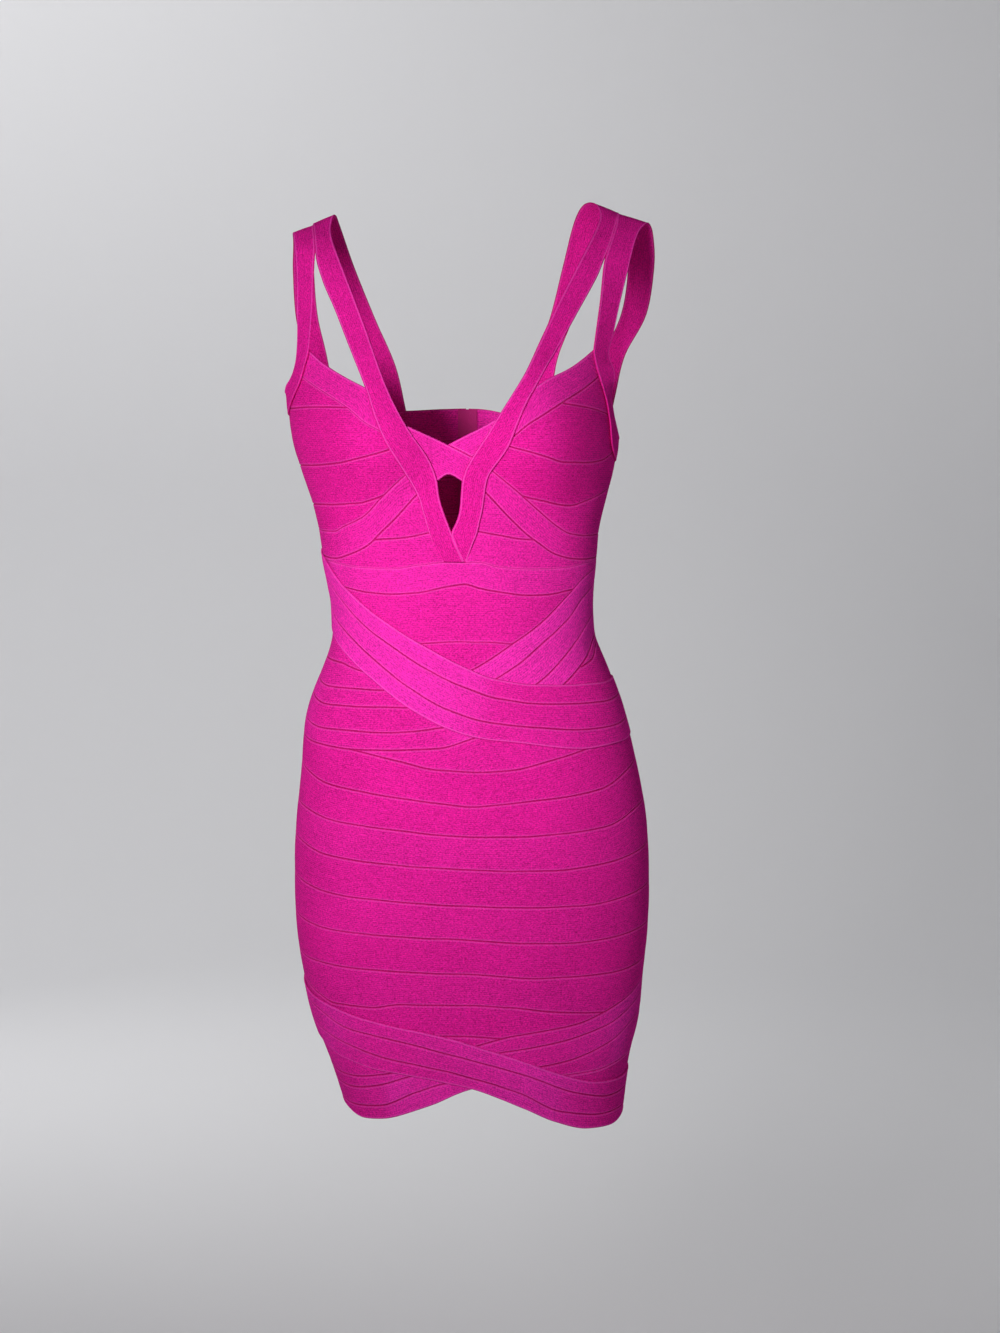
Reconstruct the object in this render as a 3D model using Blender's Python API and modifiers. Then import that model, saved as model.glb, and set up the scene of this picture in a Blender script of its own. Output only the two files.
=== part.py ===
"""Bandage-knit bodycon mini dress, filled out as it is worn.

The dress is a shell on one rounded body surface, described by level sections.
Every piece is a strip or panel that a maker would cut: a wall between an upper
and a lower seam line, and a seam line is a row of (angle, height) points that
run round the body. The straps leave the body surface and arch over the
shoulders. Units are metres, +Z up, the front faces -Y, and the origin lies
between the shoulder straps at shoulder height.
"""

import math

import bmesh
import bpy
from mathutils import Vector

MM = 0.001

# ---------------------------------------------------------------- driving sizes
WALL = 1.2 * MM              # thickness of the knitted strips
SEAM_GAP = 0.3 * MM          # distance between two strips at a seam
SIDE_GAP = 0.5 * MM          # distance between the front and the back at a side seam
LAYER_STEP = 2.0 * MM        # how far a strip that lies on others stands out
TUCK = 2.2                   # degrees that a strip runs in under a strap
TUCK_DROP = 4.0 * MM         # how far a strip runs in under a crossing wrap
COLUMN_STEP = 7.5            # degrees between the columns of a front panel
BACK_COLUMNS = 10            # columns of each side of the back
ROW_HEIGHT = 24 * MM         # greatest height of one row of a panel
CUP_ROW_HEIGHT = 13 * MM     # the same on the cups, where the surface bends more
CUPS_END = -310 * MM         # height at which the cups have faded out
SMALLEST_TIP = 0.9 * MM      # blunt end of a strip that runs to a point
SECTION_POWER = 2.25         # roundness of the level sections, 2 is an ellipse
SIDE_SEAM = 90.0             # degrees from the front centre to a side seam

# Level sections of the body surface, in millimetres: the height, the half
# widths at the viewer's left and right, and the depths at front and back.
SECTIONS = (
    # height, left, right, front, back
    (-60, 152, 150, 62, 66),
    (-100, 152, 138, 80, 84),
    (-127, 155, 131, 90, 91),
    (-168, 162, 135, 98, 96),
    (-208, 158, 138, 102, 97),
    (-232, 151, 135, 101, 94),
    (-268, 139, 126, 97, 88),
    (-290, 134, 121, 92, 84),
    (-318, 130, 119, 87, 79),
    (-355, 123, 116, 83, 75),
    (-382, 121.5, 117, 83, 75),
    (-410, 129, 127.5, 87, 80),
    (-439, 141, 139, 93, 88),
    (-465, 148, 147, 98, 96),
    (-511, 151.5, 158, 104, 110),
    (-553, 156, 165.5, 107, 121),
    (-590, 158, 168, 107, 126),
    (-623, 158, 168.5, 106, 124),
    (-660, 156, 167, 104, 117),
    (-698, 150, 163, 102, 108),
    (-735, 142, 160, 99, 100),
    (-778, 126, 150, 95, 92),
    (-825, 112, 144, 91, 86),
    (-865, 106, 141, 89, 84),
)

# The two cups stand out from the front as rounded swells.
CUP_ACROSS = (-90 * MM, 74 * MM)     # middle of the left and the right cup
CUP_HEIGHT = -212 * MM
CUP_DEPTH = 24 * MM
CUP_WIDTH = 74 * MM
CUP_RISE = 95 * MM                   # how far the swell fades upwards
CUP_FALL = 66 * MM                   # how far it fades downwards

# Seam lines, each from the viewer's left to the right as (angle in degrees
# from the front centre, height in millimetres).
SEAMS = {
    # bust, left
    "armhole_left": ((-90, -184), (-82, -177), (-76, -162), (-74.5, -146), (-73, -129), (-71, -60)),
    "strap_edge_left": ((-66, -90), (-57, -122), (-53, -138), (-45, -165), (-42, -184), (-39, -201),
                        (-35, -220), (-28, -240), (-24, -256), (-21, -270), (-19.3, -284), (-18, -298),
                        (-14, -316), (-12, -330)),
    "sweetheart_top_left": ((-76, -124), (-72, -129), (-62, -144), (-53, -156), (-45, -165), (-40, -170)),
    "sweetheart_low_left": ((-80, -143), (-73, -152), (-51, -183), (-44, -196), (-37, -204)),
    "cup_1_left": ((-90, -180), (-64, -181), (-50, -183), (-44, -184)),
    "cup_2_left": ((-90, -231), (-66, -232), (-57, -231), (-48, -227), (-35, -220), (-30, -216)),
    "cup_3_left": ((-90, -266), (-64, -267), (-51, -266), (-45, -263), (-30, -252)),
    "cross_top_left": ((-90, -287), (-80, -290), (-67, -291), (-61, -287), (-50, -278), (-40, -261),
                       (-28, -241), (-20, -228)),
    "cross_low_left": ((-90, -312), (-81, -313.5), (-69, -315), (-58, -310), (-50, -303), (-43, -292),
                       (-35, -279), (-24, -259), (-16, -246)),
    # bust, right
    "armhole_right": ((64, -60), (68, -130), (69.5, -149), (72, -167), (74, -187), (75.5, -204),
                      (79, -216), (84, -222), (90, -224)),
    "strap_edge_right": ((3, -314), (7.5, -292), (10, -267), (11, -250), (12.5, -241), (17, -231), (21, -217),
                         (23, -209), (27, -195), (31, -181), (35, -164), (41, -149), (50, -122), (62, -87)),
    "sweetheart_top_right": ((31, -168), (35, -164), (40, -158), (50, -149), (66, -130), (70, -125)),
    "sweetheart_low_right": ((19, -214), (23, -209), (30, -198), (39, -187), (47, -177), (66, -155), (72, -147)),
    "cup_1_right": ((40, -177), (47, -179), (60, -182), (76, -188)),
    "cup_2_right": ((17, -213), (21, -216), (30, -221), (39, -226), (47, -230), (57, -230), (66, -228),
                    (80, -217)),
    "cup_3_right": ((20, -253), (26, -258), (36, -263), (53, -268), (61, -264), (80, -253), (90, -249)),
    "cross_top_right": ((9, -229), (14, -238), (27, -257), (37, -272), (48, -286), (56, -293), (65, -295),
                        (90, -293)),
    "cross_low_right": ((5, -247), (11, -257), (23, -278), (33, -293), (39, -300), (49, -311), (58, -315),
                        (67, -316), (90, -313)),
    # centre of the bust
    "neck_edge_left": ((-50, -112), (-43, -140), (-34, -177), (-28, -197), (-22, -212), (-16, -229),
                       (-14, -246), (-11, -267), (-7, -290), (2, -325)),
    "neck_edge_right": ((-7, -291), (-5, -268), (-2, -246), (-1, -240), (2, -227), (6, -217), (14, -194),
                        (20, -181), (29, -155), (40, -123)),
    "gusset_top_left": ((-36, -188), (-28, -197), (-8, -215), (14, -235)),
    "gusset_top_right": ((-28, -236), (-8, -215), (14, -194), (20, -188)),
    "keyhole_top": ((-18, -251), (-13, -246), (-8, -241), (-2, -246), (2, -250)),
    # waist
    "underbust_top": ((-90, -314.5), (-80, -316.5), (-68, -319.5), (-55, -323), (-40, -324), (-25, -320), (-9, -318),
                      (9, -318), (20, -322), (35, -324), (45, -324), (56, -323), (68, -320), (90, -315)),
    "underbust_low": ((-75, -338), (-63, -342), (-54, -345), (-41, -346), (-29, -345), (-9, -339), (0, -337),
                      (9, -341), (20, -344), (36, -347), (46, -347), (61, -343), (75, -340)),
    # wrap that lies on top, viewer's left waist to right hip
    "over_0": ((-90, -306), (-79, -315), (-67, -338), (-50, -364), (-34, -382), (-10, -403), (4, -413),
               (18, -421), (38, -426), (64, -427), (90, -423)),
    "over_1": ((-90, -325), (-76, -341), (-60, -368), (-50, -382), (-23, -411), (1, -429), (18, -438),
               (47, -444), (65, -444), (90, -437)),
    "over_2": ((-90, -352), (-70, -377), (-50, -403), (-32, -426), (-11, -446), (8, -457), (27, -462),
               (56, -467), (72, -465), (90, -457)),
    "over_3": ((-90, -374), (-69, -396), (-53, -416), (-31, -444), (-11, -463), (5, -472), (29, -478),
               (54, -484), (72, -481), (90, -474)),
    # wrap that runs below it, viewer's left hip to right waist
    "under_0": ((-90, -420), (-69, -430), (-46, -431), (-20, -427), (4, -413), (29, -389), (45, -370),
                (61, -344), (69, -332), (90, -318)),
    "under_1": ((-90, -434), (-65, -446), (-31, -446), (-10, -440), (5, -431), (28, -410), (47, -386),
                (59, -369), (69, -352), (90, -335)),
    "under_2": ((-90, -455), (-66, -467), (-38, -468), (-11, -463), (10, -452), (38, -425), (63, -389),
                (76, -371), (90, -360)),
    "under_3": ((-90, -472), (-69, -481), (-46, -484), (-13, -481), (5, -472), (25, -457), (50, -427),
                (67, -403), (80, -388), (90, -382)),
    # skirt
    "skirt_0": ((-62, -480), (-45, -487), (-31, -493), (-13, -500), (8, -502), (24, -500), (43, -491),
                (64, -478)),
    "skirt_1": ((-90, -496), (-76, -505), (-61, -516), (-38, -523), (-14, -529), (4, -532), (30, -528),
                (57, -521), (73, -506), (90, -492)),
    "skirt_2": ((-90, -532), (-75, -539), (-57, -548), (-29, -554), (7, -559), (28, -559), (58, -554),
                (74, -541), (90, -532)),
    "skirt_3": ((-90, -563), (-74, -571), (-60, -579), (-43, -583), (17, -589), (39, -590), (59, -586),
                (90, -571)),
    "skirt_4": ((-90, -598), (-73, -607), (-60, -613), (-43, -616), (23, -622), (49, -623), (80, -613),
                (90, -609)),
    "skirt_5": ((-90, -634), (-62, -646), (-44, -648), (-8, -650), (48, -656), (81, -649), (90, -645)),
    "skirt_6": ((-90, -670), (-69, -678), (-45, -680), (4, -682), (40, -687), (61, -687), (90, -678)),
    "skirt_7": ((-90, -692), (-69, -709), (-60, -715), (-45, -715), (-29, -710), (3, -710), (20, -712),
                (41, -718), (62, -723), (70, -725)),
    # hem wrap that lies on top, viewer's left side to right hem
    "hem_over_0": ((-90, -700), (-71, -713), (-59, -719), (-46, -726), (-11, -738), (6, -747), (26, -759),
                   (45, -775), (62, -787), (76, -789), (90, -784)),
    "hem_over_1": ((-90, -712), (-71, -723), (-56, -736), (-30, -745), (-3, -757), (28, -773), (55, -796),
                   (70, -803), (90, -799)),
    "hem_over_2": ((-90, -730), (-66, -746), (-48, -757), (-16, -768), (-3, -773), (28, -791), (48, -811),
                   (69, -819), (90, -817)),
    "hem_over_3": ((-90, -748), (-74, -757), (-63, -766), (-47, -772), (-28, -776), (4, -787), (31, -806),
                   (45, -820), (60, -830), (72, -832), (90, -823)),
    # hem wrap that runs below it, viewer's left hem to right side
    "hem_under_0": ((-90, -777), (-62, -783), (-45, -778), (-10, -756), (6, -747), (21, -740), (52, -730),
                    (68, -716), (81, -702), (90, -695)),
    "hem_under_1": ((-90, -790), (-65, -794), (-46, -788), (-31, -778), (-10, -766), (17, -754), (40, -748),
                    (62, -736), (77, -719), (90, -709)),
    "hem_under_2": ((-90, -806), (-66, -811), (-45, -806), (-26, -791), (-11, -782), (15, -772), (48, -765),
                    (66, -751), (76, -736), (90, -724)),
    "hem_under_3": ((-90, -812), (-73, -818), (-60, -822), (-48, -820), (-18, -802), (4, -787), (30, -779),
                    (59, -777), (77, -770), (90, -764)),
}

# Where the strips of the back meet the side seams and the centre back: the
# name of the lower edge and its height in millimetres at the viewer's left
# side seam, at the centre back and at the viewer's right side seam.
BACK_EDGES = (
    # name, left, centre, right
    ("neck", -186, -176, -226),
    ("neck_fold", -206, -191, -238),
    ("neck_band", -231, -206, -249),
    ("bodice_1", -266, -241, -271),
    ("bodice_2", -287, -276, -293),
    ("bodice_3", -311, -311, -315),
    ("waist_1", -340, -338, -341),
    ("waist_2", -361, -365, -366),
    ("waist_3", -384, -392, -388),
    ("waist_4", -420, -424, -423),
    ("hip_1", -455, -456, -457),
    ("hip_2", -472, -488, -474),
    ("hip_3", -496, -521, -492),
    ("hip_4", -532, -556, -532),
    ("seat_1", -563, -591, -571),
    ("seat_2", -598, -626, -609),
    ("seat_3", -634, -661, -645),
    ("seat_4", -670, -696, -678),
    ("seat_5", -700, -731, -709),
    ("hem_1", -748, -765, -764),
    ("hem_2", -777, -795, -799),
    ("hem_3", -812, -826, -823),
)
# Back pieces of each side, with the edges that bound them.
BACK_PIECES = (
    # name, upper edge, lower edge
    ("neck_band", "neck", "neck_band"),
    ("bodice", "neck_band", "bodice_3"),
    ("waist", "bodice_3", "waist_4"),
    ("seat", "waist_4", "seat_5"),
    ("hem", "seat_5", "hem_3"),
)
GROOVE_DEPTH = 0.35 * MM     # sewn groove between two strips of one back piece
GROOVE_WIDTH = 2.4 * MM
ZIP_SLOT = 2.4 * MM          # distance between the two backs over the zip

# Front pieces between seam lines. A piece lies below the lowest of its upper
# lines and above the highest of its lower ones, and takes in the given angle.
# A line marked ">" or "<" is moved in under a strap by TUCK, to the right or
# to the left, and one marked "+" or "-" in under a wrap, up or down.
FRONT_PIECES = (
    # name, layer, angle, upper lines, lower lines
    ("sweetheart_left", 0, -60, ("sweetheart_top_left", "armhole_left", "strap_edge_left>"),
     ("sweetheart_low_left",)),
    ("cup_left_1", 0, -66, ("sweetheart_low_left", "armhole_left"), ("cup_1_left",)),
    ("cup_left_2", 0, -60, ("cup_1_left", "sweetheart_low_left", "armhole_left", "strap_edge_left>"),
     ("cup_2_left",)),
    ("cup_left_3", 0, -60, ("cup_2_left", "strap_edge_left>"), ("cup_3_left", "cross_top_left")),
    ("cup_left_4", 0, -60, ("cup_3_left",), ("cross_top_left",)),
    ("cross_band_left", 0, -50, ("cross_top_left", "strap_edge_left>"), ("cross_low_left",)),
    ("centre_panel_left", 0, -30, ("cross_low_left", "strap_edge_left>"), ("underbust_top",)),
    ("sweetheart_right", 0, 50, ("sweetheart_top_right", "armhole_right", "strap_edge_right<"),
     ("sweetheart_low_right",)),
    ("cup_right_1", 0, 62, ("sweetheart_low_right", "armhole_right"), ("cup_1_right",)),
    ("cup_right_2", 0, 50, ("cup_1_right", "sweetheart_low_right", "armhole_right", "strap_edge_right<"),
     ("cup_2_right",)),
    ("cup_right_3", 0, 50, ("cup_2_right", "armhole_right", "strap_edge_right<"),
     ("cup_3_right", "cross_top_right")),
    ("cup_right_4", 0, 60, ("cup_3_right",), ("cross_top_right",)),
    ("cross_band_right", 0, 40, ("cross_top_right", "strap_edge_right<"), ("cross_low_right",)),
    ("centre_panel_right", 0, 25, ("cross_low_right", "strap_edge_right<"), ("underbust_top",)),
    ("gusset_left", 0, -10, ("gusset_top_left",), ("neck_edge_left<", "keyhole_top", "neck_edge_right>")),
    ("gusset_right", 0, 4, ("gusset_top_right",), ("gusset_top_left", "neck_edge_right>")),
    ("underbust_band", 0, 0, ("underbust_top",), ("underbust_low", "over_0-", "under_0")),
    ("waist_panel", 0, 0, ("underbust_low",), ("over_0-", "under_0")),
    ("hip_side_left", 0, -80, ("over_3+",), ("under_0",)),
    ("hip_side_right", 0, 80, ("under_3",), ("over_0-",)),
    ("wrap_over_1", 1, 0, ("over_0",), ("over_1",)),
    ("wrap_over_2", 1, 0, ("over_1",), ("over_2",)),
    ("wrap_over_3", 1, 0, ("over_2",), ("over_3",)),
    ("wrap_under_1", 0, 0, ("under_0",), ("under_1",)),
    ("wrap_under_2", 0, 0, ("under_1",), ("under_2",)),
    ("wrap_under_3", 0, 0, ("under_2",), ("under_3",)),
    ("skirt_band_1", 0, 0, ("over_3+", "under_3"), ("skirt_0",)),
    ("skirt_band_2", 0, 0, ("over_3+", "under_3", "skirt_0"), ("skirt_1",)),
    ("skirt_band_3", 0, 0, ("skirt_1",), ("skirt_2",)),
    ("skirt_band_4", 0, 0, ("skirt_2",), ("skirt_3",)),
    ("skirt_band_5", 0, 0, ("skirt_3",), ("skirt_4",)),
    ("skirt_band_6", 0, 0, ("skirt_4",), ("skirt_5",)),
    ("skirt_band_7", 0, 0, ("skirt_5",), ("skirt_6",)),
    ("skirt_band_8", 0, 0, ("skirt_6",), ("skirt_7", "hem_under_0")),
    ("skirt_band_9", 0, 0, ("skirt_7",), ("hem_over_0-", "hem_under_0")),
    ("hem_over_1", 1, 0, ("hem_over_0",), ("hem_over_1",)),
    ("hem_over_2", 1, 0, ("hem_over_1",), ("hem_over_2",)),
    ("hem_over_3", 1, 0, ("hem_over_2",), ("hem_over_3",)),
    ("hem_under_1", 0, 0, ("hem_under_0",), ("hem_under_1",)),
    ("hem_under_2", 0, 0, ("hem_under_1",), ("hem_under_2",)),
    ("hem_under_3", 0, 0, ("hem_under_2",), ("hem_under_3",)),
    ("hem_side_left", 0, -80, ("hem_over_3+",), ("hem_under_0",)),
    ("hem_side_right", 0, 80, ("hem_under_3",), ("hem_over_0-",)),
)

# Straps. A row on the body gives the two edges as angle and height, and a row
# at the side or in the air gives them as x, y and height, all in degrees and
# millimetres. At the side the middle line lies on the body.
# The first edge is the one nearer the neck. Rows run from the front end over
# the shoulder to the back end.
STRAPS = {
    "strap_inner_left": (
        ("body", (-1, -315.5), (-13.5, -315.5)),
        ("body", (-4.3, -303), (-17, -304)),
        ("body", (-10.4, -274.8), (-21.4, -274)),
        ("body", (-12.5, -261), (-22.8, -262)),
        ("body", (-13.5, -245.5), (-25.8, -249.5)),
        ("body", (-16, -232), (-29, -238.5)),
        ("body", (-19.6, -220.3), (-32.6, -226)),
        ("body", (-24.3, -208), (-36, -213.6)),
        ("body", (-28.4, -195.4), (-38.8, -200.3)),
        ("body", (-32, -183), (-41.5, -185.8)),
        ("body", (-35.4, -170), (-44, -171)),
        ("body", (-38.8, -155.5), (-47.3, -155.8)),
        ("body", (-42.6, -139.4), (-51.3, -140)),
        ("air", (-85.6, -75, -116.4), (-106.2, -69, -118.2)),
        ("air", (-95.4, -64, -91), (-116, -58, -94)),
        ("air", (-104.3, -54, -68.3), (-126, -49, -71.4)),
        ("air", (-112.5, -42, -47.3), (-132.8, -40, -50.7)),
        ("air", (-118.8, -28, -30.8), (-135, -30, -36)),
        ("air", (-121.5, -13, -17), (-136.8, -18, -23)),
        ("air", (-119, 2, -4), (-139.2, 2, -12.5)),
        ("air", (-116, 30, -12), (-138, 31, -22)),
        ("air", (-105, 62, -46), (-127, 62, -52)),
        ("air", (-87, 83, -92), (-109, 79, -95)),
        ("air", (-68, 93, -137), (-90, 87, -139)),
        ("body", (212, -182), (223, -184)),
    ),
    "strap_inner_right": (
        ("body", (-0.3, -314.5), (1.6, -316)),
        ("body", (-4.6, -300), (4.8, -301.5)),
        ("body", (-6.4, -291.5), (7, -292)),
        ("body", (-4.4, -281), (8.3, -281.5)),
        ("body", (-2.6, -269.7), (9.6, -270.5)),
        ("body", (-1.5, -248), (11, -250.5)),
        ("body", (-0.5, -240.7), (12, -243.4)),
        ("body", (1.3, -233), (13.8, -237.3)),
        ("body", (7, -217), (19.4, -223.6)),
        ("body", (11, -207), (22.3, -214.5)),
        ("body", (14.7, -196), (24.6, -203.6)),
        ("body", (22.4, -175), (29.8, -181.5)),
        ("body", (29.8, -154.5), (36.5, -160.5)),
        ("body", (34.5, -139.4), (41.2, -146.5)),
        ("air", (66.2, -81, -123.8), (81.4, -76, -131.3)),
        ("air", (82.3, -66, -89.5), (99.8, -59, -97.7)),
        ("air", (98, -52, -58.4), (116.7, -47, -66.8)),
        ("air", (106, -43, -42.6), (123.3, -40, -51)),
        ("air", (113, -31, -28.5), (130, -31, -34.5)),
        ("air", (119.2, -16, -14.5), (134.8, -19, -19.7)),
        ("air", (121, -4, -3), (138.2, -6, -7.7)),
        ("air", (116, 8, 7), (139.3, 6, -2.6)),
        ("air", (107, 24, 7), (135, 24, -4)),
        ("air", (99, 44, -8), (126, 44, -16)),
        ("air", (90, 66, -44), (114, 64, -48)),
        ("air", (78, 83, -92), (100, 79, -92)),
        ("air", (62, 92, -137), (84, 86, -137)),
        ("body", (148, -193), (137, -200)),
    ),
    "strap_outer_left": (
        ("body", (-89.6, -188), (-89.6, -167.5)),
        ("body", (-84, -185.5), (-87, -165.5)),
        ("side", (-158.4, -31.5, -178.8), (-164.2, -15, -164.5)),
        ("side", (-154.6, -40.6, -171), (-162.4, -24, -159.5)),
        ("side", (-150.8, -46, -164.2), (-158.5, -28, -154)),
        ("side", (-147.3, -49, -156.4), (-155.4, -30, -147.6)),
        ("air", (-143.2, -50, -143), (-153, -31, -138)),
        ("air", (-139.9, -50, -131.5), (-151.9, -32, -128)),
        ("air", (-138, -47.3, -116.3), (-151.5, -31, -115)),
        ("air", (-136.4, -40, -87), (-151.8, -26, -86)),
        ("air", (-136, -31, -55.5), (-152.8, -20, -54.5)),
        ("air", (-136.2, -26, -37.5), (-154, -17, -38.8)),
        ("air", (-138.2, -15, -23), (-156, -9, -28)),
        ("air", (-140.8, 1, -12.5), (-157.8, 3, -20.5)),
        ("air", (-142, 24, -20), (-159, 22, -29)),
        ("air", (-142, 46, -48), (-161, 41, -53)),
        ("air", (-140, 64, -90), (-160, 58, -92)),
        ("air", (-132, 76, -130), (-153, 66, -127)),
        ("air", (-129, 76, -160), (-151, 60, -150)),
        ("air", (-142.5, 56, -190), (-154, 43, -169)),
        ("body", (-100, -192), (-97, -171)),
        ("body", (-90.4, -188), (-90.4, -167.5)),
    ),
    "strap_outer_right": (
        ("body", (89.6, -229), (89.6, -207)),
        ("body", (83.5, -227.5), (87, -206)),
        ("side", (134.5, -34, -223), (139.2, -17, -205.5)),
        ("side", (132, -44.4, -215), (137.4, -27, -199.5)),
        ("side", (130.8, -47.8, -205), (135.6, -30, -192.5)),
        ("side", (129.7, -48.6, -193.5), (133.8, -29, -184.5)),
        ("side", (126.3, -50.2, -174), (131.8, -30, -168)),
        ("air", (120.6, -54.1, -156.5), (134.2, -36, -154)),
        ("air", (117.7, -54.9, -147.7), (133.6, -38, -146)),
        ("air", (115.7, -54.7, -139), (130, -37, -137)),
        ("air", (114.5, -54.2, -130.8), (129.3, -37, -129)),
        ("air", (116.3, -51.3, -116.5), (132.8, -35, -115.3)),
        ("air", (120.5, -47.5, -85.3), (139, -34, -86.5)),
        ("air", (126, -40, -54.7), (146.6, -29.5, -55.5)),
        ("air", (129.2, -34, -41), (150.2, -25, -41)),
        ("air", (132.6, -25, -28.4), (154, -18, -28.3)),
        ("air", (136.6, -13, -16), (159, -9, -18)),
        ("air", (141.5, 3, -5), (167, 3, -12)),
        ("air", (147, 24, -13), (172, 22, -22)),
        ("air", (150, 46, -44), (174, 41, -48)),
        ("air", (145, 66, -88), (168, 58, -90)),
        ("air", (127, 77, -130), (149, 68, -127)),
        ("air", (118, 74, -168), (140, 60, -163)),
        ("body", (112, -222), (106, -203)),
        ("body", (100, -231), (97, -209)),
        ("body", (90.4, -229), (90.4, -207)),
    ),
}
STRAP_ROWS_BETWEEN = 2       # rows of a strap's mesh between two rows of its table
STRAP_CROWN = 0.4 * MM       # how far a strap's middle line stands above its edges

# Zip: a tape behind the slot between the two backs, a slider at its top and a
# pull tab whose eye hangs on the slider's bridge.
ZIP_TOP = -179 * MM
ZIP_END = -560 * MM
TAPE_END = -564 * MM
TAPE_HALF_WIDTH = 9 * MM
TAPE_WALL = 0.8 * MM
TAPE_CLEARANCE = 0.9 * MM    # from the inside of the cloth to the tape
SLIDER_TOP = -180 * MM
SLIDER_SIZE = Vector((7.0, 2.4, 11.0)) * MM
SLIDER_ROUNDING = 0.5 * MM
BRIDGE_RADIUS = 0.6 * MM
BRIDGE_HALF = 2.4 * MM       # from the pull's axis to a post, up or down
BRIDGE_REACH = 3.2 * MM      # from the slider's face to the bridge's middle
BRIDGE_ROOT = 0.5 * MM       # how deep the posts stand in the slider
AXIS_DROP = 4.6 * MM         # from the slider's top to the pull's axis
AXIS_REACH = 1.3 * MM        # from the slider's face to the pull's axis
PULL_WALL = 0.9 * MM
# Right half of the pull tab and of its eye, from the top down, in millimetres.
PULL_OUTLINE = (
    # half width, height above the axis
    (1.65, 0.5),
    (2.2, 0.0),
    (2.2, -5.2),
    (1.55, -7.6),
    (1.55, -17.0),
    (2.2, -20.5),
    (1.75, -24.0),
)
PULL_EYE = (
    # half width, height above the axis
    (1.2, -0.5),
    (1.2, -4.5),
)

PINK = (0.80, 0.028, 0.33, 1.0)
METAL = (0.62, 0.05, 0.27, 1.0)


# -------------------------------------------------------------------- geometry
def blend(rows, key, column):
    """Value of a table's column at a key, with smooth slopes between rows."""
    keys = [row[0] for row in rows]
    values = [row[column] for row in rows]
    if keys[0] > keys[-1]:
        keys.reverse()
        values.reverse()
    if key <= keys[0]:
        return values[0]
    if key >= keys[-1]:
        return values[-1]
    slopes = [(values[i + 1] - values[i]) / (keys[i + 1] - keys[i]) for i in range(len(keys) - 1)]
    tangents = [slopes[0]]
    for before, after in zip(slopes, slopes[1:]):
        tangents.append(0.0 if before * after <= 0 else 2 * before * after / (before + after))
    tangents.append(slopes[-1])
    i = next(j for j in range(len(keys) - 1) if key <= keys[j + 1])
    span = keys[i + 1] - keys[i]
    t = (key - keys[i]) / span
    return (values[i] * (1 + 2 * t) * (1 - t) ** 2 + tangents[i] * span * t * (1 - t) ** 2
            + values[i + 1] * t * t * (3 - 2 * t) - tangents[i + 1] * span * t * t * (1 - t))


def cup_swell(x, height):
    """How far the cups stand out from the front at a place."""
    swell = 0.0
    reach = CUP_RISE if height > CUP_HEIGHT else CUP_FALL
    for middle in CUP_ACROSS:
        away = math.hypot((x - middle) / CUP_WIDTH, (height - CUP_HEIGHT) / reach)
        if away < 1:
            swell += CUP_DEPTH * 0.5 * (1 + math.cos(math.pi * away))
    return swell


def on_body(angle, height):
    """Point of the body surface at an angle in degrees and a height in metres."""
    left, right, front, back = (blend(SECTIONS, height / MM, column) * MM for column in (1, 2, 3, 4))
    turn = math.radians(angle)
    across, ahead = math.sin(turn), math.cos(turn)
    half_width = right if across > 0 else left
    depth = front if ahead > 0 else back
    radius = ((abs(across) / half_width) ** SECTION_POWER
              + (abs(ahead) / depth) ** SECTION_POWER) ** (-1 / SECTION_POWER)
    point = Vector((radius * across, -radius * ahead, height))
    if ahead > 0:
        point.y -= cup_swell(point.x, height)
    return point


def outwards(angle, height):
    """Unit normal of the body surface."""
    around = on_body(angle + 0.5, height) - on_body(angle - 0.5, height)
    upwards = on_body(angle, height + MM) - on_body(angle, height - MM)
    return around.cross(upwards).normalized()


def raised(angle, height, distance):
    """Point at a distance outside the body surface."""
    return on_body(angle, height) + outwards(angle, height) * distance


def seam_height(name, angle):
    """Height in metres of a seam line, straight between the columns."""
    if name[-1] in "+-":
        return seam_height(name[:-1], angle) + (TUCK_DROP if name[-1] == "+" else -TUCK_DROP)
    if name[-1] in "<>":
        return seam_height(name[:-1], angle + (TUCK if name[-1] == "<" else -TUCK))
    line = SEAMS[name]
    column = math.floor(angle / COLUMN_STEP) * COLUMN_STEP
    share = (angle - column) / COLUMN_STEP
    before = extended(line, column)
    after = extended(line, column + COLUMN_STEP)
    return (before * (1 - share) + after * share) * MM


def extended(line, angle):
    """Height in millimetres of a line's curve, which runs on straight past its ends."""
    if angle < line[0][0]:
        slope = (line[1][1] - line[0][1]) / (line[1][0] - line[0][0])
        return line[0][1] + slope * (angle - line[0][0])
    if angle > line[-1][0]:
        slope = (line[-1][1] - line[-2][1]) / (line[-1][0] - line[-2][0])
        return line[-1][1] + slope * (angle - line[-1][0])
    return blend(line, angle, 1)


def grid_mesh(name, rows):
    """Open mesh of quads between equally long rows of points."""
    mesh = bpy.data.meshes.new(name)
    model = bmesh.new()
    verts = [[model.verts.new(point) for point in row] for row in rows]
    for upper, lower in zip(verts, verts[1:]):
        for i in range(len(upper) - 1):
            model.faces.new((upper[i], lower[i], lower[i + 1], upper[i + 1]))
    model.to_mesh(mesh)
    model.free()
    return mesh


def cloth_piece(name, rows, thickness=WALL):
    """Wall of cloth whose outer face is the given grid of points."""
    piece = bpy.data.objects.new(name, grid_mesh(name, rows))
    dress.objects.link(piece)
    piece.data.materials.append(cloth)
    piece.data.shade_smooth()
    wall = piece.modifiers.new("wall", "SOLIDIFY")
    wall.thickness = thickness
    wall.offset = -1
    return piece


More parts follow.
